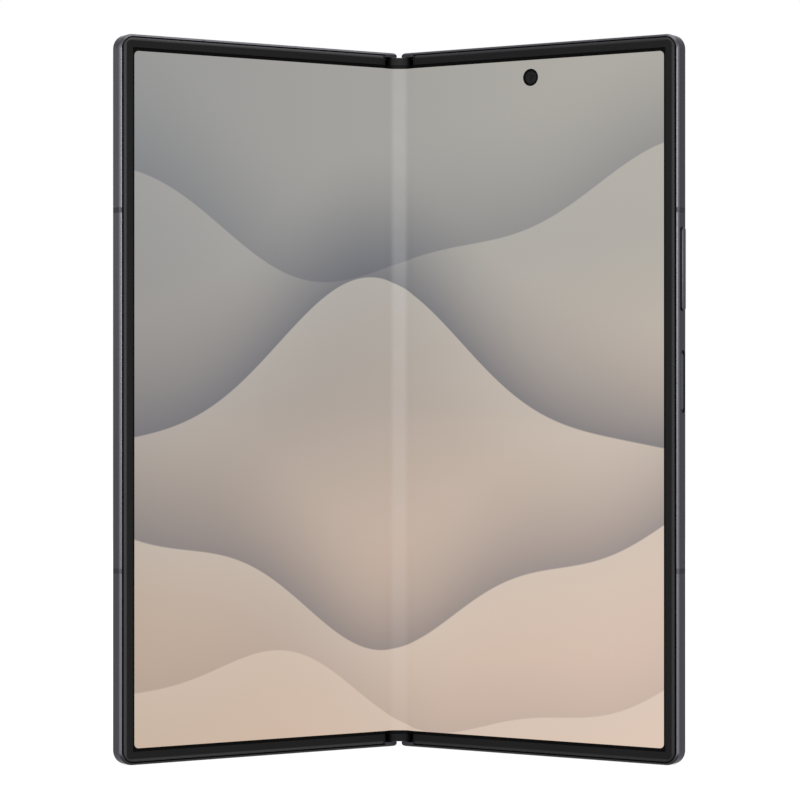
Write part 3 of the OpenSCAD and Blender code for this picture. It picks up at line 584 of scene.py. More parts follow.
# The painted highlight's tones on the cut rim along a side, the top and the bottom
FRAME_RIM_HIGHLIGHT = [tone(104, 104, 110), tone(82, 82, 86), tone(52, 52, 55)]
BAND_RIM_HIGHLIGHT = [tone(104, 103, 110), tone(90, 89, 95), tone(56, 56, 60)]
# The surround's painted highlight: a band in from its outer edge and its rounded edge where it turns away, paler on
# the left half than on the right
SURROUND_EDGE = 0.75 * MM
SHEEN_FROM, SHEEN_TO = (0.0, 0.14 * MM), (0.52 * MM, 0.76 * MM)
ROUND_TO = (0.9 * MM, 1.2 * MM)
ROUND_TURNS, ROUND_FLAT = (0.3, 0.6), (0.86, 0.995)
SHEEN_TONE = {-1: tone(60, 60, 62), 1: tone(48, 48, 50)}
# The surround's end by the hinge gets painted shade up to this far from it
HINGE_END, HINGE_SOFT = 0.5 * MM, 0.15 * MM
CAP_FADE, CAP_SHINE_FADE = (1.9 * MM, 2.6 * MM), (2.2 * MM, 2.7 * MM)
# How far the spine's faces turn to the front where its painted shade starts and ends
RIM_FACES = (-0.9, -0.6)


def recolour(material, share, colour):
    """Mixes a second colour over a finish's own, by a share."""
    tree = material.node_tree
    socket = tree.nodes["Principled BSDF"].inputs["Base Color"]
    link(tree, mixed(tree, share, socket.links[0].from_socket, colour), socket)


def copied(slot, name):
    """A copy of a finish under a new name, and its tree."""
    copy = finishes[slot].copy()
    copy.name = name
    return copy, copy.node_tree


def facing_front(tree, side):
    """How squarely a surface of a half faces the front, from 0 to 1."""
    facing = tree.nodes.new("ShaderNodeVectorMath")
    facing.operation = "DOT_PRODUCT"
    facing.inputs[1].default_value = (-side * sin(fold), -cos(fold), 0)
    link(tree, own(tree, "Normal"), facing.inputs[0])
    return facing.outputs["Value"]


def rim_highlight_groove_shade(slot, side, rim):
    """A frame finish with a painted highlight on the front edge and painted shade in the groove inside it."""
    copy, tree = copied(slot, slot + "_" + sides[side])
    up = split(tree, own(tree, "Normal"))[2]
    top = rising(tree, up, *END_TURN)
    bottom = falling(tree, up, *[-turn for turn in END_TURN[::-1]])
    depth, facing = flat_place(tree, side)[1][1], facing_front(tree, side)
    turned_in = rising(tree, facing, *RIM_SIDE)
    flat = rising(tree, facing, *RIM_FLAT)
    not_flat = rest_of(tree, flat)
    # A painted highlight on the rim's rounded front edge: palest along the sides, darker where the edge faces up,
    # darkest where it faces down
    bright = product(tree, falling(tree, depth, RIM_END, WALL_START), turned_in, not_flat)
    shown = mixed(tree, bottom, mixed(tree, top, rim[0], rim[1]), rim[2])
    recolour(copy, bright, shown)
    # Painted shade on the groove's inner side and its floor, and on the rim's crest along the sides
    inner = product(tree, falling(tree, depth, GROOVE_DEEP, GROOVE_END), rest_of(tree, turned_in))
    floor = product(tree, flat, above(tree, depth, GROOVE_DEEP, GROOVE_SOFT))
    ends = computing(tree, "MAXIMUM", top, bottom)
    crest = product(tree, rising(tree, facing, *RIM_CREST),
                    computing(tree, "SUBTRACT", not_flat, ends))
    dark = computing(tree, "MAXIMUM", computing(tree, "MAXIMUM", inner, floor), crest)
    recolour(copy, dark, GROOVE_SHADE)
    return copy


def surround_edge_sheen(side):
    """The surround's plastic, with a painted highlight along its outer edge and where it turns away, and painted shade
    at its end by the hinge.
    """
    copy, tree = copied("surround", "soft_surround_" + sides[side])
    out, _, up = flat_place(tree, side)[1]
    facing = facing_front(tree, side)
    inwards = computing(tree, "SUBTRACT", HALF_W - SURROUND_EDGE, out)
    for gap in (computing(tree, "SUBTRACT", up, SURROUND_EDGE),
                computing(tree, "SUBTRACT", BODY_H - SURROUND_EDGE, up)):
        inwards = computing(tree, "MINIMUM", inwards, gap)
    # The painted highlight: a band in from the outer edge, and the rounded edge where it turns away
    band = product(tree, rising(tree, inwards, *SHEEN_FROM), falling(tree, inwards, *SHEEN_TO))
    rounded = product(tree, falling(tree, inwards, *ROUND_TO), rising(tree, facing, *ROUND_TURNS),
                      falling(tree, facing, *ROUND_FLAT))
    end = flat_box("surround_" + sides[side], side)[0][0] + HINGE_END
    from_hinge = above(tree, out, end, HINGE_SOFT)
    edge_sheen = product(tree, computing(tree, "MAXIMUM", band, rounded), from_hinge)
    recolour(copy, edge_sheen, SHEEN_TONE[side])
    # Painted shade on the surround's end by the hinge
    recolour(copy, rest_of(tree, from_hinge), tone(3, 3, 4))
    return copy


def shaded_foot(material):
    """Darkens a cap beside its crown, where the hinge leaves it in shade."""
    tree = material.node_tree
    aside = computing(tree, "ABSOLUTE", split(tree, own(tree))[0])
    recolour(material, rising(tree, aside, *CAP_FADE), tone(3, 3, 3))
    link(tree, spread(tree, aside, CAP_SHINE, 0.0, *CAP_SHINE_FADE),
         tree.nodes["Principled BSDF"].inputs["Specular IOR Level"])


def shaded_rim():
    """The spine's metal, with painted shade on the rim that faces the screen."""
    copy, tree = copied("hinge_metal", "spine_with_painted_rim_shade")
    ahead = split(tree, own(tree, "Normal"))[1]
    recolour(copy, falling(tree, ahead, *RIM_FACES), tone(8, 8, 9))
    return copy


shaded_foot(finishes["cap_plastic"])
finishes["hinge_housing"] = shaded_rim()
for side in sides:
    finishes["frame_" + sides[side]] = rim_highlight_groove_shade("graphite_metal", side, FRAME_RIM_HIGHLIGHT)
    finishes["antenna_bands_" + sides[side]] = rim_highlight_groove_shade("band_plastic", side, BAND_RIM_HIGHLIGHT)
    finishes["surround_" + sides[side]] = surround_edge_sheen(side)
print("edge finishes:", [name for name in finishes if name.endswith(("left", "right"))])

# %% [markdown]
# ## Inside finishes
# A board's solder mask is green with straight tracks under it, and its screening cans are tinned
# steel. The finish finds the cans by their height over the board, so no mask has to be drawn. A
# pouch cell is wrapped in black film, creased where it was folded.

# %% Board and pouch
BOARD_BACK, CAN_STEP, CAN_SOFT = 2.07 * MM, 0.02 * MM, 0.01 * MM


def board_finish(name, side):
    """Solder mask with tracks below the cans' foot, and tinned steel above it."""
    material, tree, shader = new_finish(name)
    place, parts = flat_place(tree, side)
    tracks = tree.nodes.new("ShaderNodeTexBrick")
    tracks.inputs["Scale"].default_value = 260.0
    tracks.inputs["Mortar Size"].default_value = 0.09
    tracks.inputs["Color1"].default_value = tone(18, 66, 44)
    tracks.inputs["Color2"].default_value = tone(22, 76, 50)
    tracks.inputs["Mortar"].default_value = tone(52, 108, 74)
    spun = tree.nodes.new("ShaderNodeMapping")
    spun.inputs["Rotation"].default_value = (pi / 2, 0, 0)
    link(tree, place, spun.inputs["Vector"])
    link(tree, spun.outputs[0], tracks.inputs["Vector"])
    can = above(tree, parts[1], BOARD_BACK + CAN_STEP, CAN_SOFT)
    dye(tree, shader, can, tracks.outputs["Color"], tone(172, 174, 176))
    link(tree, can, shader.inputs["Metallic"])
    roughen(tree, shader, grain(tree, 900.0), 0.3, 0.42)
    return material


def pouch_finish():
    """Black film over a foil pouch, with soft creases."""
    material, tree, shader = new_finish("pouch_film")
    crease = grain(tree, 160.0, (1, 1, 0.3), 4.0)
    dye(tree, shader, spread(tree, crease, 0.0, 1.0), tone(34, 35, 38), tone(52, 53, 57))
    roughen(tree, shader, crease, 0.3, 0.5)
    relief(tree, shader, crease, 4e-5)
    return material


finishes["battery_foil"] = pouch_finish()
boards = {side: board_finish("board_of_" + sides[side] + "_half", side) for side in sides}
print("inside finishes:", finishes["battery_foil"].name, boards[1].name)

# %% [markdown]
# ## Glass
# The cover screen is off, so its glass is deep black and shiny. Its tone drifts faintly over a
# long range, because a perfectly even black looks painted. The other back is dark glass with an
# etched face, which spreads what it mirrors, over a coat with fine metal flecks.

# %% Cover glass, etched back and lens glass
def gloss_black():
    """Smooth glass over a screen that is off."""
    material, tree, shader = new_finish("cover_gloss")
    drift = grain(tree, 25.0, detail=1.0)
    dye(tree, shader, spread(tree, drift, 0.0, 1.0), tone(11, 11, 13), tone(17, 17, 20))
    roughen(tree, shader, grain(tree, 300.0), 0.05, 0.09)
    shader.inputs["Specular IOR Level"].default_value = 0.3
    return material


def etched_back():
    """Satin glass over a coat with fine metal flecks."""
    material, tree, shader = new_finish("etched_back")
    flecks = tree.nodes.new("ShaderNodeTexVoronoi")
    flecks.inputs["Scale"].default_value = 5000.0
    link(tree, own(tree), flecks.inputs["Vector"])
    bright = falling(tree, flecks.outputs["Distance"], 0.08, 0.3)
    dye(tree, shader, bright, tone(52, 52, 57), tone(96, 96, 103))
    etch = grain(tree, 9000.0)
    roughen(tree, shader, etch, 0.34, 0.44)
    relief(tree, shader, etch, 1e-6)
    shader.inputs["Specular IOR Level"].default_value = 0.6
    return material


def clear_window():
    """Flat clear glass, very slightly uneven. A low index stands for its coat against glare."""
    material, tree, shader = new_finish("clear_window")
    shader.inputs["Transmission Weight"].default_value = 1.0
    shader.inputs["IOR"].default_value = 1.22
    roughen(tree, shader, grain(tree, 200.0), 0.01, 0.03)
    return material


finishes["cover_glass"] = gloss_black()
finishes["cover_display"] = plastic("dark_panel", tone(12, 12, 13), 0.3)
finishes["back_glass"] = etched_back()
finishes["lens_glass"] = clear_window()
print("finishes so far:", len(finishes))

# %% [markdown]
# ## Flash
# A flash is a yellow-white emitter under a moulded lens. The lens spreads the colour into soft
# patches, so the finish is a drift between two pale yellows. Its rings are cut as a shape, below.

# %% Flash finish
def flash_finish():
    """Yellow phosphor seen through a frosted lens, in soft patches."""
    material, tree, shader = new_finish("flash_lens")
    patches = spread(tree, grain(tree, 700.0), 0.0, 1.0)
    dye(tree, shader, patches, tone(236, 226, 190), tone(246, 240, 214))
    roughen(tree, shader, grain(tree, 1500.0), 0.12, 0.24)
    return material


finishes["flash"] = flash_finish()
print("flash finish:", finishes["flash"].name)

# %% [markdown]
# ## Coated lenses
# A camera's front lens is black inside and coated against glare. The coat shows as a deep violet
# that turns to green towards the rim. The change depends on how steeply the surface is seen, so
# the colour is mixed by Layer Weight, under a very smooth face. The front camera looks duller in
# the photo, so the discs and pupils of the two small cameras are plain dark mouldings.

# %% Lens coat, and the small cameras' disc and pupil
def coated_lens():
    """Near-black glass with a violet and green sheen."""
    material, tree, shader = new_finish("coated_lens")
    slant = tree.nodes.new("ShaderNodeLayerWeight")
    slant.inputs["Blend"].default_value = 0.35
    dye(tree, shader, slant.outputs["Facing"], tone(20, 14, 34), tone(14, 36, 38))
    roughen(tree, shader, grain(tree, 400.0), 0.02, 0.05)
    shader.inputs["Specular IOR Level"].default_value = 0.22
    return material


finishes["coated_lens"] = coated_lens()
finishes["eye_disc"] = plastic("eye_disc", tone(31, 31, 32), 0.5, shine=0.08)
finishes["small_pupil"] = plastic("small_pupil", tone(28, 28, 31), 0.3, shine=0.05)
print("lens finishes: coated_lens, eye_disc, small_pupil")

# %% [markdown]
# ## The picture on the screen
# A lit screen gives off light of its own, so its picture goes into the shader's emission, over a
# black base. The picture is a plain one of hills in mist. Its ground is a run of colour from grey
# to peach, which grows lighter to the right. Each hill is that same ground seen through a veil:
# lighter along its crest, and darker where the mist of the next hill lies over its foot. The
# hills are drawn in millimetres of the open screen, which the meshes carry as their UV map, so
# one picture runs over both halves and over the fold.

# %% Hills in mist
OPEN_W = 2 * HALF_W
CREST, MIST = tone(214, 208, 198), tone(92, 96, 108)
# These sizes are in millimetres: how far mist and light reach from a crest, and how soft it is
MIST_REACH, LIGHT_REACH, CREST_SOFT = 30.0, 26.0, 0.15
FADE_POWER = 1.6
TO_RIGHT = (4.0, 140.0)
FOOT_TONES = (tone(202, 178, 158), tone(226, 200, 182))
# Further up the ground changes: from one height to another, to these tones at left and right
UPPER_TONES = ((22.0, 78.0, tone(160, 152, 146), tone(200, 184, 170)),
               (74.0, 116.0, tone(152, 152, 151), tone(178, 174, 166)))
# Each hill's level, its waves (height, length, start), its mist and the light on its crest
HILLS = ((120.0, ((13.0, 176.0, 2.5), (3.0, 67.0, 0.6)), 0.42, 0.1),
         (84.0, ((19.0, 152.0, 5.2), (4.0, 71.0, 2.2)), 0.72, 0.22),
         (41.0, ((15.0, 168.0, 2.1), (4.0, 63.0, 4.4)), 0.6, 0.3),
         (13.0, ((9.0, 131.0, 0.2), (3.0, 58.0, 3.0)), 0.24, 0.25))


def hill_line(tree, across, level, waves):
    """The height of a hill's top: a level and a sum of waves."""
    height = level
    for size, length, start in waves:
        turn = computing(tree, "MULTIPLY_ADD", across, 2 * pi / length)
        turn.node.inputs[2].default_value = start
        swing = product(tree, computing(tree, "SINE", turn), size)
        height = computing(tree, "ADD", swing, height)
    return height


def fading(tree, value, stop, most):
    """Falls from most at zero to nothing at the stop, quickly at first."""
    share = falling(tree, value, 0.0, stop)
    return product(tree, computing(tree, "POWER", share, FADE_POWER), most)


def hill(tree, behind, ground, across, up, level, waves, mist, light):
    """Lays one hill over what is behind it. Mist gathers behind the crest, light lies on it."""
    depth = computing(tree, "SUBTRACT", hill_line(tree, across, level, waves), up)
    far = mixed(tree, fading(tree, product(tree, depth, -1.0), MIST_REACH, mist), behind, MIST)
    near = mixed(tree, fading(tree, depth, LIGHT_REACH, light), ground, CREST)
    return mixed(tree, above(tree, depth, 0.0, CREST_SOFT), far, near)


def lit_picture():
    """The screen's picture as light, under a smooth top film."""
    material, tree, shader = new_finish("lit_picture")
    chart = tree.nodes.new("ShaderNodeUVMap")
    chart.uv_map = "flat"
    size = tree.nodes.new("ShaderNodeMapping")
    size.inputs["Scale"].default_value = (OPEN_W / MM, BODY_H / MM, 1)
    link(tree, chart.outputs[0], size.inputs["Vector"])
    across, up, _ = split(tree, size.outputs[0])
    to_right = rising(tree, across, *TO_RIGHT)
    ground = mixed(tree, to_right, *FOOT_TONES)
    for start, stop, left, right in UPPER_TONES:
        upper = mixed(tree, to_right, left, right)
        ground = mixed(tree, rising(tree, up, start, stop), ground, upper)
    view = ground
    for level, waves, mist, light in HILLS:
        view = hill(tree, view, ground, across, up, level, waves, mist, light)
    link(tree, view, shader.inputs["Emission Color"])
    shader.inputs["Emission Strength"].default_value = 0.94
    shader.inputs["Base Color"].default_value = tone(8, 8, 9)
    roughen(tree, shader, grain(tree, 120.0), 0.3, 0.36)
    shader.inputs["Specular IOR Level"].default_value = 0.25
    return material


picture = lit_picture()
border = plastic("screen_border", tone(7, 7, 7), 0.3, depth=1e-6, shine=0.04)
finishes["screen"] = border
print("picture nodes:", len(picture.node_tree.nodes))

# %% [markdown]
# ## The flat panels of the screen
# On each half the screen is one thin slab, with a lit area inside a black border. The border
# could be painted, but a cut edge stays crisp from any distance, so the outline, the lit area
# and the camera's hole are loops, and the faces between them are filled with triangles.

# %% Loops and fills
import bmesh
from mathutils.geometry import tessellate_polygon

SCREEN_EDGE, LIT_EDGE, LIT_SIDE = 2.15 * MM, 3.65 * MM, 3.5 * MM
SCREEN_R, LIT_R = 1.3 * MM, 1.0 * MM
FLEX_W = 4.2 * MM
SCREEN_FRONT, SCREEN_BACK = 0.45 * MM, 0.8 * MM
EYE, EYE_R, EYE_RING = (34.8 * MM, BODY_H - 7.5 * MM), 1.9 * MM, 0.02 * MM
# How many steps a panel's corner, a plate's corner and a circle take, and the angle in degrees
# under which faces blend
PANEL_CORNER, PLATE_CORNER, CIRCLE = 10, 8, 64
SMOOTH_UNDER = 35


def corner(centre, radius, start, steps):
    """Points of a quarter turn."""
    turns = [radians(start + 90 * i / steps) for i in range(steps + 1)]
    return [(centre[0] + radius * cos(t), centre[1] + radius * sin(t)) for t in turns]


def round_side(inset, radius, side_inset):
    """A panel's outline from the fold's edge round both outer corners, in flat sizes."""
    right, low, high = HALF_W - side_inset, inset, BODY_H - inset
    return ([(FLEX_W, low)]
            + corner((right - radius, low + radius), radius, -90, PANEL_CORNER)
            + corner((right - radius, high - radius), radius, 0, PANEL_CORNER)
            + [(FLEX_W, high)])


def circle(centre, radius):
    """Points of a whole turn."""
    turns = [2 * pi * i / CIRCLE for i in range(CIRCLE)]
    return [(centre[0] + radius * cos(t), centre[1] + radius * sin(t)) for t in turns]


def backward(a, b, depth):
    """A point of an outline drawn on a front or a back."""
    return a, depth, b


def outward(a, b, depth):
    """A point of an outline drawn on a side wall."""
    return depth, a, b


def upward(a, b, depth):
    """A point of an outline drawn on an end edge."""
    return a, b, depth


class FlatMesh:
    """A mesh drawn in flat sizes, with its picture's map."""

    def __init__(self, side):
        self.side, self.bm, self.flat = side, bmesh.new(), {}

    def point(self, out, back, up):
        """A vertex at a flat place."""
        vertex = self.bm.verts.new(on_half(self.side, out, back, up))
        self.flat[vertex] = (out, up)
        return vertex

    def face(self, corners, finish):
        """A face with one of the piece's finishes."""
        self.bm.faces.new(corners).material_index = finish

    def fill(self, loops, depth, finish, lay=backward):
        """Triangles between an outline and its holes, at one depth."""
        corners = [self.point(*lay(a, b, depth)) for loop in loops for a, b in loop]
        outlines = [[Vector((a, b, 0)) for a, b in loop] for loop in loops]
        for triangle in tessellate_polygon(outlines):
            self.face([corners[i] for i in triangle], finish)

    def rows(self, outline, steps, finish, lay=backward):
        """A skin through an outline's copies, one for each (inset, depth)."""
        rings = [[self.point(*lay(a, b, depth)) for a, b in outline(inset)]
                 for inset, depth in steps]
        for ring, following in zip(rings, rings[1:]):
            for i in range(len(ring)):
                j = (i + 1) % len(ring)
                self.face((ring[i], ring[j], following[j], following[i]), finish)

    def wall(self, loop, front, back, finish):
        """A wall round a loop, between two depths."""
        self.rows(lambda inset: loop, [(0, front), (0, back)], finish)

    def chart(self):
        """Each point's share of the open screen, as the UV map."""
        layer = self.bm.loops.layers.uv.new("flat")
        for face in self.bm.faces:
            for loop in face.loops:
                out, up = self.flat[loop.vert]
                loop[layer].uv = (0.5 + self.side * out / OPEN_W, up / BODY_H)

    def piece(self, name, materials):
        """Closes the mesh into a named piece."""
        self.chart()
        bmesh.ops.remove_doubles(self.bm, verts=self.bm.verts, dist=1e-8)
        bmesh.ops.recalc_face_normals(self.bm, faces=self.bm.faces)
        mesh = bpy.data.meshes.new(name)
        self.bm.to_mesh(mesh)
        self.bm.free()
        for material in materials:
            mesh.materials.append(material)
        mesh.shade_smooth()
        mesh.set_sharp_from_angle(angle=radians(SMOOTH_UNDER))
        obj = bpy.data.objects.new(name, mesh)
        scene.collection.objects.link(obj)
        return obj


print("lit area of a half:", round((HALF_W - LIT_EDGE - FLEX_W) / MM, 2), "mm wide")

# %% Two flat panels
LIT, DARK = 0, 1


def screen_panel(side):
    """A half's slab of screen; the right one has the camera's hole and its black ring."""
    mesh = FlatMesh(side)
    outline = round_side(SCREEN_EDGE, SCREEN_R, SCREEN_EDGE)
    lit = round_side(LIT_EDGE, LIT_R, LIT_SIDE)
    holes = [circle(EYE, EYE_R)] if side > 0 else []
    rings = [circle(EYE, EYE_R + EYE_RING)] if side > 0 else []
    mesh.fill([outline + lit[::-1]], SCREEN_FRONT, DARK)
    mesh.fill([lit] + rings, SCREEN_FRONT, LIT)
    for ring, hole in zip(rings, holes):
        mesh.fill([ring, hole], SCREEN_FRONT, DARK)
        mesh.wall(hole, SCREEN_FRONT, SCREEN_BACK, DARK)
    mesh.fill([outline] + holes, SCREEN_BACK, DARK)
    mesh.wall(outline, SCREEN_FRONT, SCREEN_BACK, DARK)
    obj = mesh.piece("screen_panel_" + sides[side], [picture, border])
    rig.ride(obj, sides[side] + "_half")
    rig.replaces(obj, "screen_" + sides[side])
    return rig.slot(obj, "screen")


for side in sides:
    panel = screen_panel(side)
    print(panel.name, len(panel.data.polygons), "faces")

# %% [markdown] ## The part of the screen that bends Between the panels the screen is a strip
# that bends about the hinge. A point takes a growing share of its half's turn as it lies further
# from the middle. The strip is then right at rest, open flat and closed.

# %% Two bending strips, and the sheet metal behind them
ROWS, TRIES = 28, 40
# The strip's ends lie this far from the foot and the top, and the sheet has these depths
FOLD_EDGE = 2.9 * MM
PLATE_FRONT, PLATE_BACK = 0.83 * MM, 0.98 * MM


def eased(t):
    """A share that starts and ends gently."""
    t = min(1.0, max(0.0, t))
    return t * t * (3 - 2 * t)


def bending_ends(side, back):
    """Where the bend starts and ends, in a layer at a given depth."""
    return on_half(side, 0, back, 0, 0.0), on_half(side, FLEX_W, back, 0)


def settled(side, out, back, ends):
    """The place at rest of a flat point of the strip."""
    run = ends[1] - ends[0]
    t = out / FLEX_W
    for _ in range(TRIES):
        place = on_half(side, out, back, 0, eased(t))
        t = (place - ends[0]).dot(run) / run.length_squared
    return place


def bending_strip(name, side, front, back, cuts, bands, materials):
    """A slab of the strip. Cuts are its heights, and bands name the finish between them."""
    mesh = FlatMesh(side)
    ends = bending_ends(side, (front + back) / 2)
    outs = [FLEX_W * i / ROWS for i in range(ROWS + 1)]

    def skin(depth):
        """The strip's points at one depth, in rows from the middle outwards."""
        grid = []
        for out in outs:
            place = settled(side, out, depth, ends)
            line = [mesh.bm.verts.new((place.x, place.y, up)) for up in cuts]
            mesh.flat.update((vertex, (out, up)) for vertex, up in zip(line, cuts))
            grid.append(line)
        return grid

    faces, backs = skin(front), skin(back)
    for i in range(ROWS):
        for k, band in enumerate(bands):
            for grid, finish in ((faces, band), (backs, DARK)):
                mesh.face((grid[i][k], grid[i + 1][k], grid[i + 1][k + 1], grid[i][k + 1]), finish)
        for k in (0, -1):
            mesh.face((faces[i][k], faces[i + 1][k], backs[i + 1][k], backs[i][k]), DARK)
    for i in (0, ROWS):
        for k in range(len(bands)):
            mesh.face((faces[i][k], faces[i][k + 1], backs[i][k + 1], backs[i][k]), DARK)
    obj = mesh.piece(name, materials)
    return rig.blend(obj, "hinge", sides[side] + "_half", ends[0], ends[1])


cuts = [FOLD_EDGE, LIT_EDGE, BODY_H - LIT_EDGE, BODY_H - FOLD_EDGE]
for side in sides:
    strip = bending_strip("screen_bend_" + sides[side], side, SCREEN_FRONT, SCREEN_BACK,
                          cuts, [DARK, LIT, DARK], [picture, border])
    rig.replaces(strip, "screen_fold")
    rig.slot(strip, "screen")
    sheet = bending_strip("plate_bend_" + sides[side], side, PLATE_FRONT, PLATE_BACK,
                          [cuts[0], cuts[-1]], [LIT], [finishes["screen_plate"]] * 2)
    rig.replaces(sheet, "screen_plate_fold")
    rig.slot(sheet, "screen_plate")
    print(strip.name, len(strip.data.polygons), "faces")

# %% [markdown]
# ## Small parts with soft edges
# A real key, ring or sheet of glass has no sharp corner: its edge is turned or ground round, and
# that round edge is what catches the light. Each of these parts is a stack of outlines. An outline
# keeps its shape while it shrinks by an inset, and the insets follow a quarter turn near the face.
# A bevel on a finished block could do the same, but a stack keeps every size in plain sight. The
# sizes are read from the solids, laid flat, so each part fills just the room that it has.

# %% Outlines that shrink
def pill(low, high, steps=14):
    """An upright slot's outline between two corners, as a function of its inset."""
    middle, radius = (low[0] + high[0]) / 2, (high[0] - low[0]) / 2

    def outline(inset):
        points = []
        for centre, start in ((high[1] - radius, 0), (low[1] + radius, pi)):
            points += [(middle + (radius - inset) * cos(start + pi * i / steps),
                        centre + (radius - inset) * sin(start + pi * i / steps))
                       for i in range(steps + 1)]
        return points
    return outline


def plate(low, high, outer, inner):
    """A panel's outline, with its outer corners and its corners at the hinge."""
    def outline(inset):
        points = []
        for across, up, radius, start in ((1, 0, outer, -90), (1, 1, outer, 0),
                                          (0, 1, inner, 90), (0, 0, inner, 180)):
            centre = ((low[0] + radius, high[0] - radius)[across],
                      (low[1] + radius, high[1] - radius)[up])
            points += corner(centre, radius - inset, start, PLATE_CORNER)
        return points
    return outline


def disc(centre):
    """A circle's outline, whose inset counts from its centre: its radius."""
    return lambda radius: circle(centre, radius)


def turned(depth, radius, towards=1, steps=6):
    """(inset, depth) steps of a quarter turn that ends in a face at a depth."""
    turns = [pi / 2 * i / steps for i in range(steps + 1)]
    return [(radius * (1 - cos(t)), depth - towards * radius * (1 - sin(t))) for t in turns]


low, high = flat_box("volume_key", 1)
print("volume key, flat:", [round((b - a) / MM, 2) for a, b in zip(low, high)], "mm")

# %% [markdown]
# A key is a bar with round ends that comes through the wall. Its face is ground flat, and its
# edge is turned to a fifth of a millimetre, which shows as one bright line along the phone's side.

# %% The two keys
KEY_ROUND, KEY_W = 0.22 * MM, 1.4 * MM
# The flange starts and ends this far up the key, and stands out by its reach. The solid's flange
# is longer than the bar by this much at each end.
FLANGE, FLANGE_REACH, FLANGE_ENDS = (0.22 * MM, 0.57 * MM), 0.2 * MM, 0.6 * MM


def key_piece(node):
    """A key with a turned edge, and the flange that holds it behind the wall."""
    low, high = flat_box(node, 1)
    middle = (low[1] + high[1]) / 2
    bar = pill((middle - KEY_W / 2, low[2] + FLANGE_ENDS),
               (middle + KEY_W / 2, high[2] - FLANGE_ENDS))
    start, stop = [low[0] + rise for rise in FLANGE]
    mesh = FlatMesh(1)
    mesh.fill([bar(0)], low[0], 0, outward)
    mesh.rows(bar, [(0, low[0]), (0, start), (-FLANGE_REACH, start), (-FLANGE_REACH, stop),
                    (0, stop)] + turned(high[0], KEY_ROUND), 0, outward)
    mesh.fill([bar(KEY_ROUND)], high[0], 0, outward)
    obj = mesh.piece(node + "_cap", [finishes["key_metal"]])
    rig.ride(obj, node)
    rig.replaces(obj, node)
    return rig.slot(obj, "key_metal")


for node in ("volume_key", "power_key"):
    print(key_piece(node).name)

# %% [markdown]
# The back panels are sheets of glass with a ground edge. The one with the cameras has a slot cut
# for their island and a hole for the flash. The cover glass is whole: its camera looks out through
# a clear spot in the black print behind it, which is made here as a clear disc in the sheet.

# %% Two sheets of glass
GROUND = 0.22 * MM
SHEET_R, SHEET_HINGE_R = 2.57 * MM, 0.5 * MM
eye_low, eye_high = flat_box("cover_camera", -1)
COVER_EYE = ((eye_low[0] + eye_high[0]) / 2, (eye_low[2] + eye_high[2]) / 2)
COVER_SPOT, FLASH_HOLE = 1.45 * MM, 2.05 * MM
flash_low, flash_high = flat_box("flash_lens", 1)
FLASH = ((flash_low[0] + flash_high[0]) / 2, (flash_low[2] + flash_high[2]) / 2)
island_low, island_high = flat_box("camera_island", 1)
ISLAND_STEP, GLUE = 0.65 * MM, 0.03 * MM
ISLAND_STEPS = 24
island_outline = pill(island_low[::2], island_high[::2], ISLAND_STEPS)


def glass_sheet(node, side, hole_loops, spot=None):
    """A sheet with a ground edge on both faces, its holes, and a clear spot if it has one."""
    low, high = flat_box(node, side)
    outline = plate(low[::2], high[::2], SHEET_R, SHEET_HINGE_R)
    mesh = FlatMesh(side)
    mesh.rows(outline, [(0, low[1])] + turned(high[1], GROUND), 0)
    openings = hole_loops + ([circle(spot, COVER_SPOT)] if spot else [])
    mesh.fill([outline(0)] + openings, low[1], 0)
    mesh.fill([outline(GROUND)] + openings, high[1], 0)
    for loop in hole_loops:
        mesh.wall(loop, low[1], high[1], 0)
    for depth in (low[1], high[1]) if spot else ():
        mesh.fill([circle(spot, COVER_SPOT)], depth, 1)
    obj = mesh.piece(node + "_sheet", [finishes[node], finishes["lens_glass"]])
    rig.ride(obj, sides[side] + "_half")
    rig.replaces(obj, node)
    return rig.slot(obj, node)


sheets = [glass_sheet("cover_glass", -1, [], COVER_EYE),
          glass_sheet("back_glass", 1, [island_outline(ISLAND_STEP - GLUE),
                                        circle(FLASH, FLASH_HOLE)])]
print("sheets:", [sheet.name for sheet in sheets])

# %% [markdown]
# ## The rear cameras
# The island is one milled plate with three stepped holes. In each hole sits a window, held by a
# turned ring, and under it a lens barrel: a black cone with fine steps that swallow stray light,
# and a domed, coated lens at its end. What makes such a camera look real is depth, so the steps
# are cut and not painted.

# %% Island and rings
rings_low, rings_high = flat_box("camera_rings", 1)
RING_R = (rings_high[0] - rings_low[0]) / 2
RING_LIP, RING_GROOVE = 0.25 * MM, 0.06 * MM
LENS_R = RING_R - 1.5 * MM
BORE, MOUTH = LENS_R - 0.5 * MM, LENS_R + 0.05 * MM
LENS_OUT = (rings_high[0] + rings_low[0]) / 2
LENS_UPS = [rings_high[2] - RING_R, (rings_high[2] + rings_low[2]) / 2, rings_low[2] + RING_R]
window_low, window_high = flat_box("camera_windows", 1)
ISLAND_ROUND = 0.55 * MM
frame_back = flat_box("back_glass", 1)[1][1]


def camera_plate():
    """The island: a slot-shaped plate with a round edge and three stepped holes."""
    front, foot = island_high[1], island_low[1]
    under, seat = frame_back + GLUE, window_low[1] - GLUE
    mesh = FlatMesh(1)
    mesh.rows(island_outline, [(ISLAND_STEP, foot), (ISLAND_STEP, under), (0, under)]
              + turned(front, ISLAND_ROUND), 0)
    spots = [(LENS_OUT, up) for up in LENS_UPS]
    mesh.fill([island_outline(ISLAND_STEP)] + [circle(spot, BORE) for spot in spots], foot, 0)
    mesh.fill([island_outline(ISLAND_ROUND)] + [circle(spot, MOUTH) for spot in spots], front, 0)
    for spot in spots:
        mesh.rows(disc(spot), [(MOUTH, front), (MOUTH, seat), (BORE, seat), (BORE, foot)], 0)
    return mesh.piece("camera_island_plate", [finishes["graphite_metal"]])


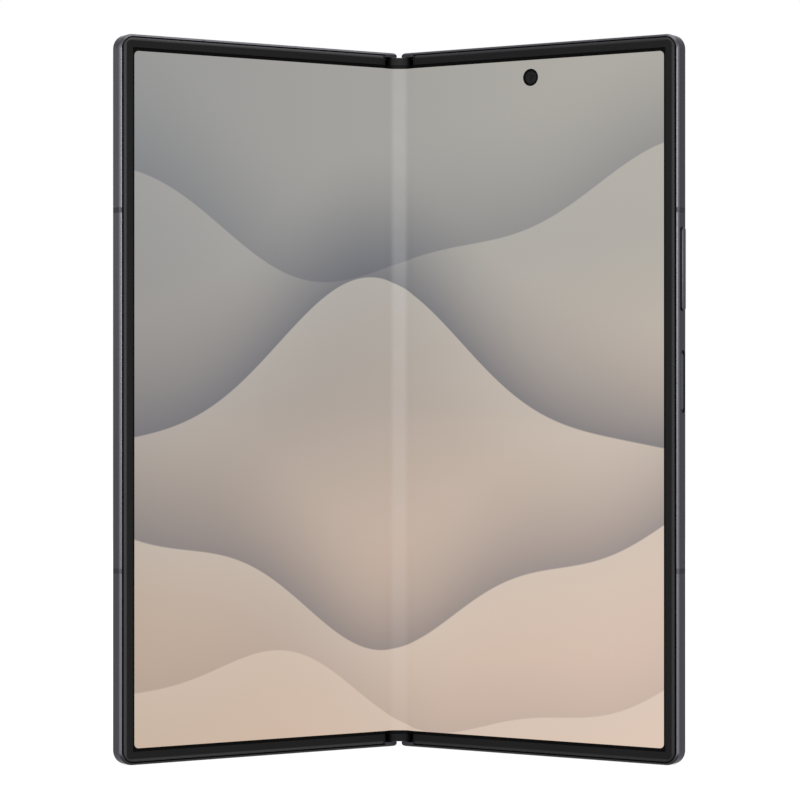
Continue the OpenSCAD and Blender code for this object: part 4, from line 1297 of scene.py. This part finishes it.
def camera_ring_set():
    """Three turned rings: round outside, a groove on the face, a cone into the bore."""
    foot, top = rings_low[1], rings_high[1]
    groove, cut = LENS_R + RING_LIP * 3, RING_GROOVE
    inner = LENS_R - 0.3 * MM
    outside = [(RING_R - inset, depth) for inset, depth in turned(top, RING_LIP)]
    face = [(groove + cut, top), (groove, top - cut), (groove - cut, top),
            (LENS_R + 0.3 * MM, top), (inner + cut, top - 1.8 * RING_LIP),
            (inner, top - 2.1 * RING_LIP), (inner, foot), (RING_R, foot)]
    mesh = FlatMesh(1)
    for up in LENS_UPS:
        mesh.rows(disc((LENS_OUT, up)), [(RING_R, foot)] + outside + face, 0)
    return mesh.piece("camera_ring_set", [finishes["ring_metal"]])


for make, node, slot in ((camera_plate, "camera_island", "graphite_metal"),
                         (camera_ring_set, "camera_rings", "ring_metal")):
    obj = make()
    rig.ride(obj, "right_half")
    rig.replaces(obj, node)
    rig.slot(obj, slot)
    print(obj.name, len(obj.data.polygons), "faces")

# %% Windows and lens barrels
MASK_R, BARREL_R = 4.7 * MM, 5.4 * MM
BASE, BASE_R, BASE_HIGH, BASE_ROUND = 12 * MM, 0.6 * MM, 1.1 * MM, 0.2 * MM
# The cone has this many steps, each undercut a little, down to the domed lens
STEPS, UNDERCUT = 7, 0.04 * MM
DOME_R, DOME_DEEP, DOME_RISE = 2.9 * MM, 1.7 * MM, 0.9 * MM
WINDOW_BEVEL = 0.1 * MM


def window_set():
    """Three clear discs with a bevel, and a black ring printed on the inner face."""
    foot, top = window_low[1], window_high[1]
    radius = (window_high[0] - window_low[0]) / 2
    face_r = radius - WINDOW_BEVEL
    mesh = FlatMesh(1)
    for up in LENS_UPS:
        spot = disc((LENS_OUT, up))
        mesh.rows(spot, [(MASK_R, foot), (radius, foot)], 1)
        mesh.rows(spot, [(radius, foot), (radius, top - WINDOW_BEVEL), (face_r, top)], 0)
        mesh.fill([spot(face_r)], top, 0)
        mesh.fill([spot(MASK_R)], foot, 0)
    return mesh.piece("camera_window_set", [finishes["lens_glass"], finishes["camera_black"]])


def square_base(centre, size, radius):
    """The outline of a moulded square foot."""
    low = (centre[0] - size / 2, centre[1] - size / 2)
    return plate(low, (low[0] + size, low[1] + size), radius, radius)


def dome(radius, rim, rise, towards=1, steps=7):
    """(radius, depth) steps over a lens, from its rim to its crown."""
    return [(radius * cos(pi / 2 * i / steps), rim + towards * rise * sin(pi / 2 * i / steps))
            for i in range(steps + 1)]


def barrel_set():
    """Three lens barrels: a foot, a barrel, a stepped cone and a coated lens."""
    low, high = flat_box("camera_modules", 1)
    foot_top, mouth = low[1] + BASE_HIGH, high[1]
    floor = mouth - DOME_DEEP
    cone = [(MASK_R, mouth)]
    for i in range(STEPS):
        radius = MASK_R + (DOME_R - MASK_R) * (i + 1) / STEPS
        depth = mouth + (floor - mouth) * (i + 1) / STEPS
        cone += [(cone[-1][0] - UNDERCUT, depth), (radius, depth)]
    mesh = FlatMesh(1)
    for up in LENS_UPS:
        spot, base = (LENS_OUT, up), square_base((LENS_OUT, up), BASE, BASE_R)
        mesh.fill([base(0)], low[1], 0)
        mesh.rows(base, [(0, low[1])] + turned(foot_top, BASE_ROUND), 0)
        mesh.fill([base(BASE_ROUND), circle(spot, BARREL_R)], foot_top, 0)
        mesh.rows(disc(spot), [(BARREL_R, foot_top), (BARREL_R, mouth)] + cone, 0)
        mesh.rows(disc(spot), dome(DOME_R, floor, DOME_RISE), 1)
    return mesh.piece("camera_barrel_set", [finishes["camera_black"], finishes["coated_lens"]])


for make, node, slot in ((window_set, "camera_windows", "lens_glass"),
                         (barrel_set, "camera_modules", "camera_black")):
    obj = make()
    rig.ride(obj, "right_half")
    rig.replaces(obj, node)
    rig.slot(obj, slot)
    print(obj.name, len(obj.data.polygons), "faces")

# %% [markdown]
# The flash is a moulded lens with rings like steps on its face, which spread the light. The two
# small cameras are barrels with a sunk dark disc and a tiny domed pupil. They look out through the
# screen's hole and through the clear spot in the cover glass.

# %% Flash lens and the two small cameras
FLASH_R, FLASH_RINGS, FLASH_CUT, FLASH_STEP = 2.0 * MM, 6, 0.07 * MM, 0.4 * MM
# How much of a ring's width its shallow side takes
SHALLOW = 0.9
# Where a small camera's ring is bevelled, where its disc starts and ends, and its pupil's edge,
# each as a share of its radius, then how deep the disc and the pupil lie and how far it bulges
BEVEL_AT, RING_AT, DISC_AT, CONE_AT, PUPIL_AT = 0.97, 0.8, 0.76, 0.4, 0.22
BEVEL, DISC_DEEP, PUPIL_DEEP, PUPIL_RISE = 0.05 * MM, 0.1 * MM, 0.24 * MM, 0.16 * MM
EYE_BASE_R, EYE_GAP, COVER_EYE_R = 0.4 * MM, 0.03 * MM, 1.5 * MM


def ringed_flash():
    """A flange, and a lens whose face has rings with a steep and a shallow side."""
    top, width = flash_high[1], FLASH_R / FLASH_RINGS
    flange_r, flange_top = (flash_high[0] - flash_low[0]) / 2, top - FLASH_STEP
    face = []
    for i in range(FLASH_RINGS):
        edge = FLASH_R - width * i
        face += [(edge, top), (edge - width * SHALLOW, top - FLASH_CUT)]
    mesh = FlatMesh(1)
    spot = disc(FLASH)
    mesh.fill([spot(flange_r)], flash_low[1], 0)
    mesh.rows(spot, [(flange_r, flash_low[1]), (flange_r, flange_top), (FLASH_R, flange_top)]
              + face + [(0.0, top - FLASH_CUT)], 0)
    return mesh.piece("flash_ringed_lens", [finishes["flash"]])


def small_camera(name, node, side, radius, face, back, foot, towards):
    """A barrel with a ring, a sunk disc and a domed pupil. Towards is -1 if it looks forward."""
    low, high = flat_box(node, side)
    spot = ((low[0] + high[0]) / 2, (low[2] + high[2]) / 2)
    sunk, deep, pupil = face - towards * DISC_DEEP, face - towards * PUPIL_DEEP, radius * PUPIL_AT
    base = square_base(spot, high[0] - low[0], EYE_BASE_R)
    mesh = FlatMesh(side)
    mesh.fill([base(0)], foot, 0)
    mesh.rows(base, [(0, foot), (0, back)], 0)
    mesh.fill([base(0), circle(spot, radius)], back, 0)
    mesh.rows(disc(spot), [(radius, back), (radius, face - towards * BEVEL),
                           (radius * BEVEL_AT, face), (radius * RING_AT, face),
                           (radius * DISC_AT, sunk)], 0)
    mesh.rows(disc(spot), [(radius * DISC_AT, sunk), (radius * CONE_AT, sunk), (pupil, deep)], 1)
    mesh.rows(disc(spot), dome(pupil, deep, PUPIL_RISE, towards), 2)
    obj = mesh.piece(name, [border, finishes["eye_disc"], finishes["small_pupil"]])
    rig.ride(obj, sides[side] + "_half")
    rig.replaces(obj, node)
    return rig.slot(obj, "camera_black")


flash = ringed_flash()
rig.ride(flash, "right_half")
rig.replaces(flash, "flash_lens")
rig.slot(flash, "flash")
FRONT_BASE, COVER_BASE = 1.6 * MM, 1.2 * MM
low, high = flat_box("front_camera", 1)
front_eye = small_camera("front_camera_barrel", "front_camera", 1, EYE_R - EYE_GAP,
                         low[1], high[1] - FRONT_BASE, high[1], -1)
cover_eye = small_camera("cover_camera_barrel", "cover_camera", -1, COVER_EYE_R,
                         eye_high[1], eye_low[1] + COVER_BASE, eye_low[1], 1)
print("small cameras:", front_eye.name, cover_eye.name)

# %% [markdown]
# ## In the bottom edge
# The charging socket has a tongue with a row of gold pads on each side. The loudspeaker's holes
# are closed from inside by woven cloth, so that dust stays out and sound gets through. Both sit
# deep in their holes, and are only seen from close by, but an empty hole would look unfinished.

# %% Contacts and speaker cloth
PADS, PAD_PITCH, PAD_W = 12, 0.5 * MM, 0.25 * MM
PAD_START, PAD_LENGTH, PAD_RISE = 0.9 * MM, 3.2 * MM, 0.02 * MM
PAD_CORNER, PAD_EDGE = 0.08 * MM, 0.015 * MM
TONGUE_HALF = 0.35 * MM
HOLES, HOLE_PITCH = 6, 2.0 * MM
# A disc of cloth: its radius, how high it hangs in the wall, its thickness and its crown
CLOTH_R, CLOTH_UP, CLOTH_THICK, CLOTH_CROWN = 0.48 * MM, 0.74 * MM, 0.08 * MM, 0.04 * MM
# An antenna band crosses the second hole, so nothing goes behind that one.
BAND_HOLE = 1
socket_low, socket_high = flat_box("usb_socket", 1)
SOCKET_OUT = (socket_low[0] + socket_high[0]) / 2
PORT_BACK = (socket_low[1] + socket_high[1]) / 2


def gold_pads():
    """Two rows of flat pads on the tongue."""
    mesh = FlatMesh(1)
    foot = socket_low[2] + PAD_START
    for towards in (-1, 1):
        skin = PORT_BACK + towards * TONGUE_HALF
        for i in range(PADS):
            left = SOCKET_OUT + (i - (PADS - 1) / 2) * PAD_PITCH - PAD_W / 2
            pad = plate((left, foot), (left + PAD_W, foot + PAD_LENGTH), PAD_CORNER, PAD_CORNER)
            face = skin + towards * PAD_RISE
            mesh.rows(pad, [(0, skin)] + turned(face, PAD_EDGE, towards, 2), 0)
            mesh.fill([pad(0)], skin, 0)
            mesh.fill([pad(PAD_EDGE)], face, 0)
    return mesh.piece("charging_contacts", [metal("gold_plate", tone(214, 178, 110), 0.24, CUT)])


def woven_cloth():
    """Dark thread, raised in two crossing sets of ridges."""
    material, tree, shader = new_finish("woven_cloth")
    ridges = []
    for direction in ("X", "Y"):
        threads = tree.nodes.new("ShaderNodeTexWave")
        threads.bands_direction = direction
        threads.inputs["Scale"].default_value = 2200.0
        link(tree, own(tree), threads.inputs["Vector"])
        ridges.append(threads.outputs["Fac"])
    height = computing(tree, "MAXIMUM", *ridges)
    dye(tree, shader, height, tone(16, 16, 17), tone(52, 52, 55))
    roughen(tree, shader, height, 0.6, 0.45)
    relief(tree, shader, height, 3e-5)
    return material


def speaker_cloth():
    """A small crowned disc of cloth in each open hole."""
    low, high = flat_box("loudspeaker", 1)
    first = (low[0] + high[0]) / 2 - (HOLES - 1) / 2 * HOLE_PITCH
    inner = CLOTH_UP + CLOTH_THICK
    mesh = FlatMesh(1)
    for i in range(HOLES):
        if i != BAND_HOLE:
            spot = disc((first + i * HOLE_PITCH, PORT_BACK))
            steps = [(CLOTH_R, inner)] + dome(CLOTH_R, CLOTH_UP, CLOTH_CROWN, -1, 4)
            mesh.rows(spot, steps, 0, upward)
            mesh.fill([spot(CLOTH_R)], inner, 0, upward)
    return mesh.piece("speaker_cloth", [woven_cloth()])


for make, slot in ((gold_pads, "gear_bronze"), (speaker_cloth, "speaker_plastic")):
    obj = make()
    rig.ride(obj, "right_half")
    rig.slot(obj, slot)
    print(obj.name, len(obj.data.polygons), "faces")

# %% [markdown]
# ## Dressing the solids
# Every solid of the frame keeps its shape and gets the finish that the record names for it. The
# boards differ, because each one's finish undoes its own half's fold.

# %% Finishes onto the solids
for part in frame["record"]["subparts"]:
    node = frame["nodes"][part["node"]]
    finish = finishes.get(part["node"], finishes.get(part["material_slot"]))
    if part["material_slot"] == "board":
        finish = boards[-1 if part["node"].endswith("left") else 1]
    node.data.materials.clear()
    node.data.materials.append(finish)
print("solids dressed:", len(frame["nodes"]))

# %% [markdown]
# ## Last measurements
# The dressed phone must stay inside the solid one's box, so both boxes are kept side by side.

# %% Sizes and the end
visual_box = [list(corner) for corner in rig.bounds()]
with open("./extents.json", "w") as out:
    json.dump({"cad": cad_box, "visual": visual_box}, out)
for name, box in (("solid", cad_box), ("dressed", visual_box)):
    print(name, [round((b - a) / MM, 2) for a, b in zip(*box)], "mm")
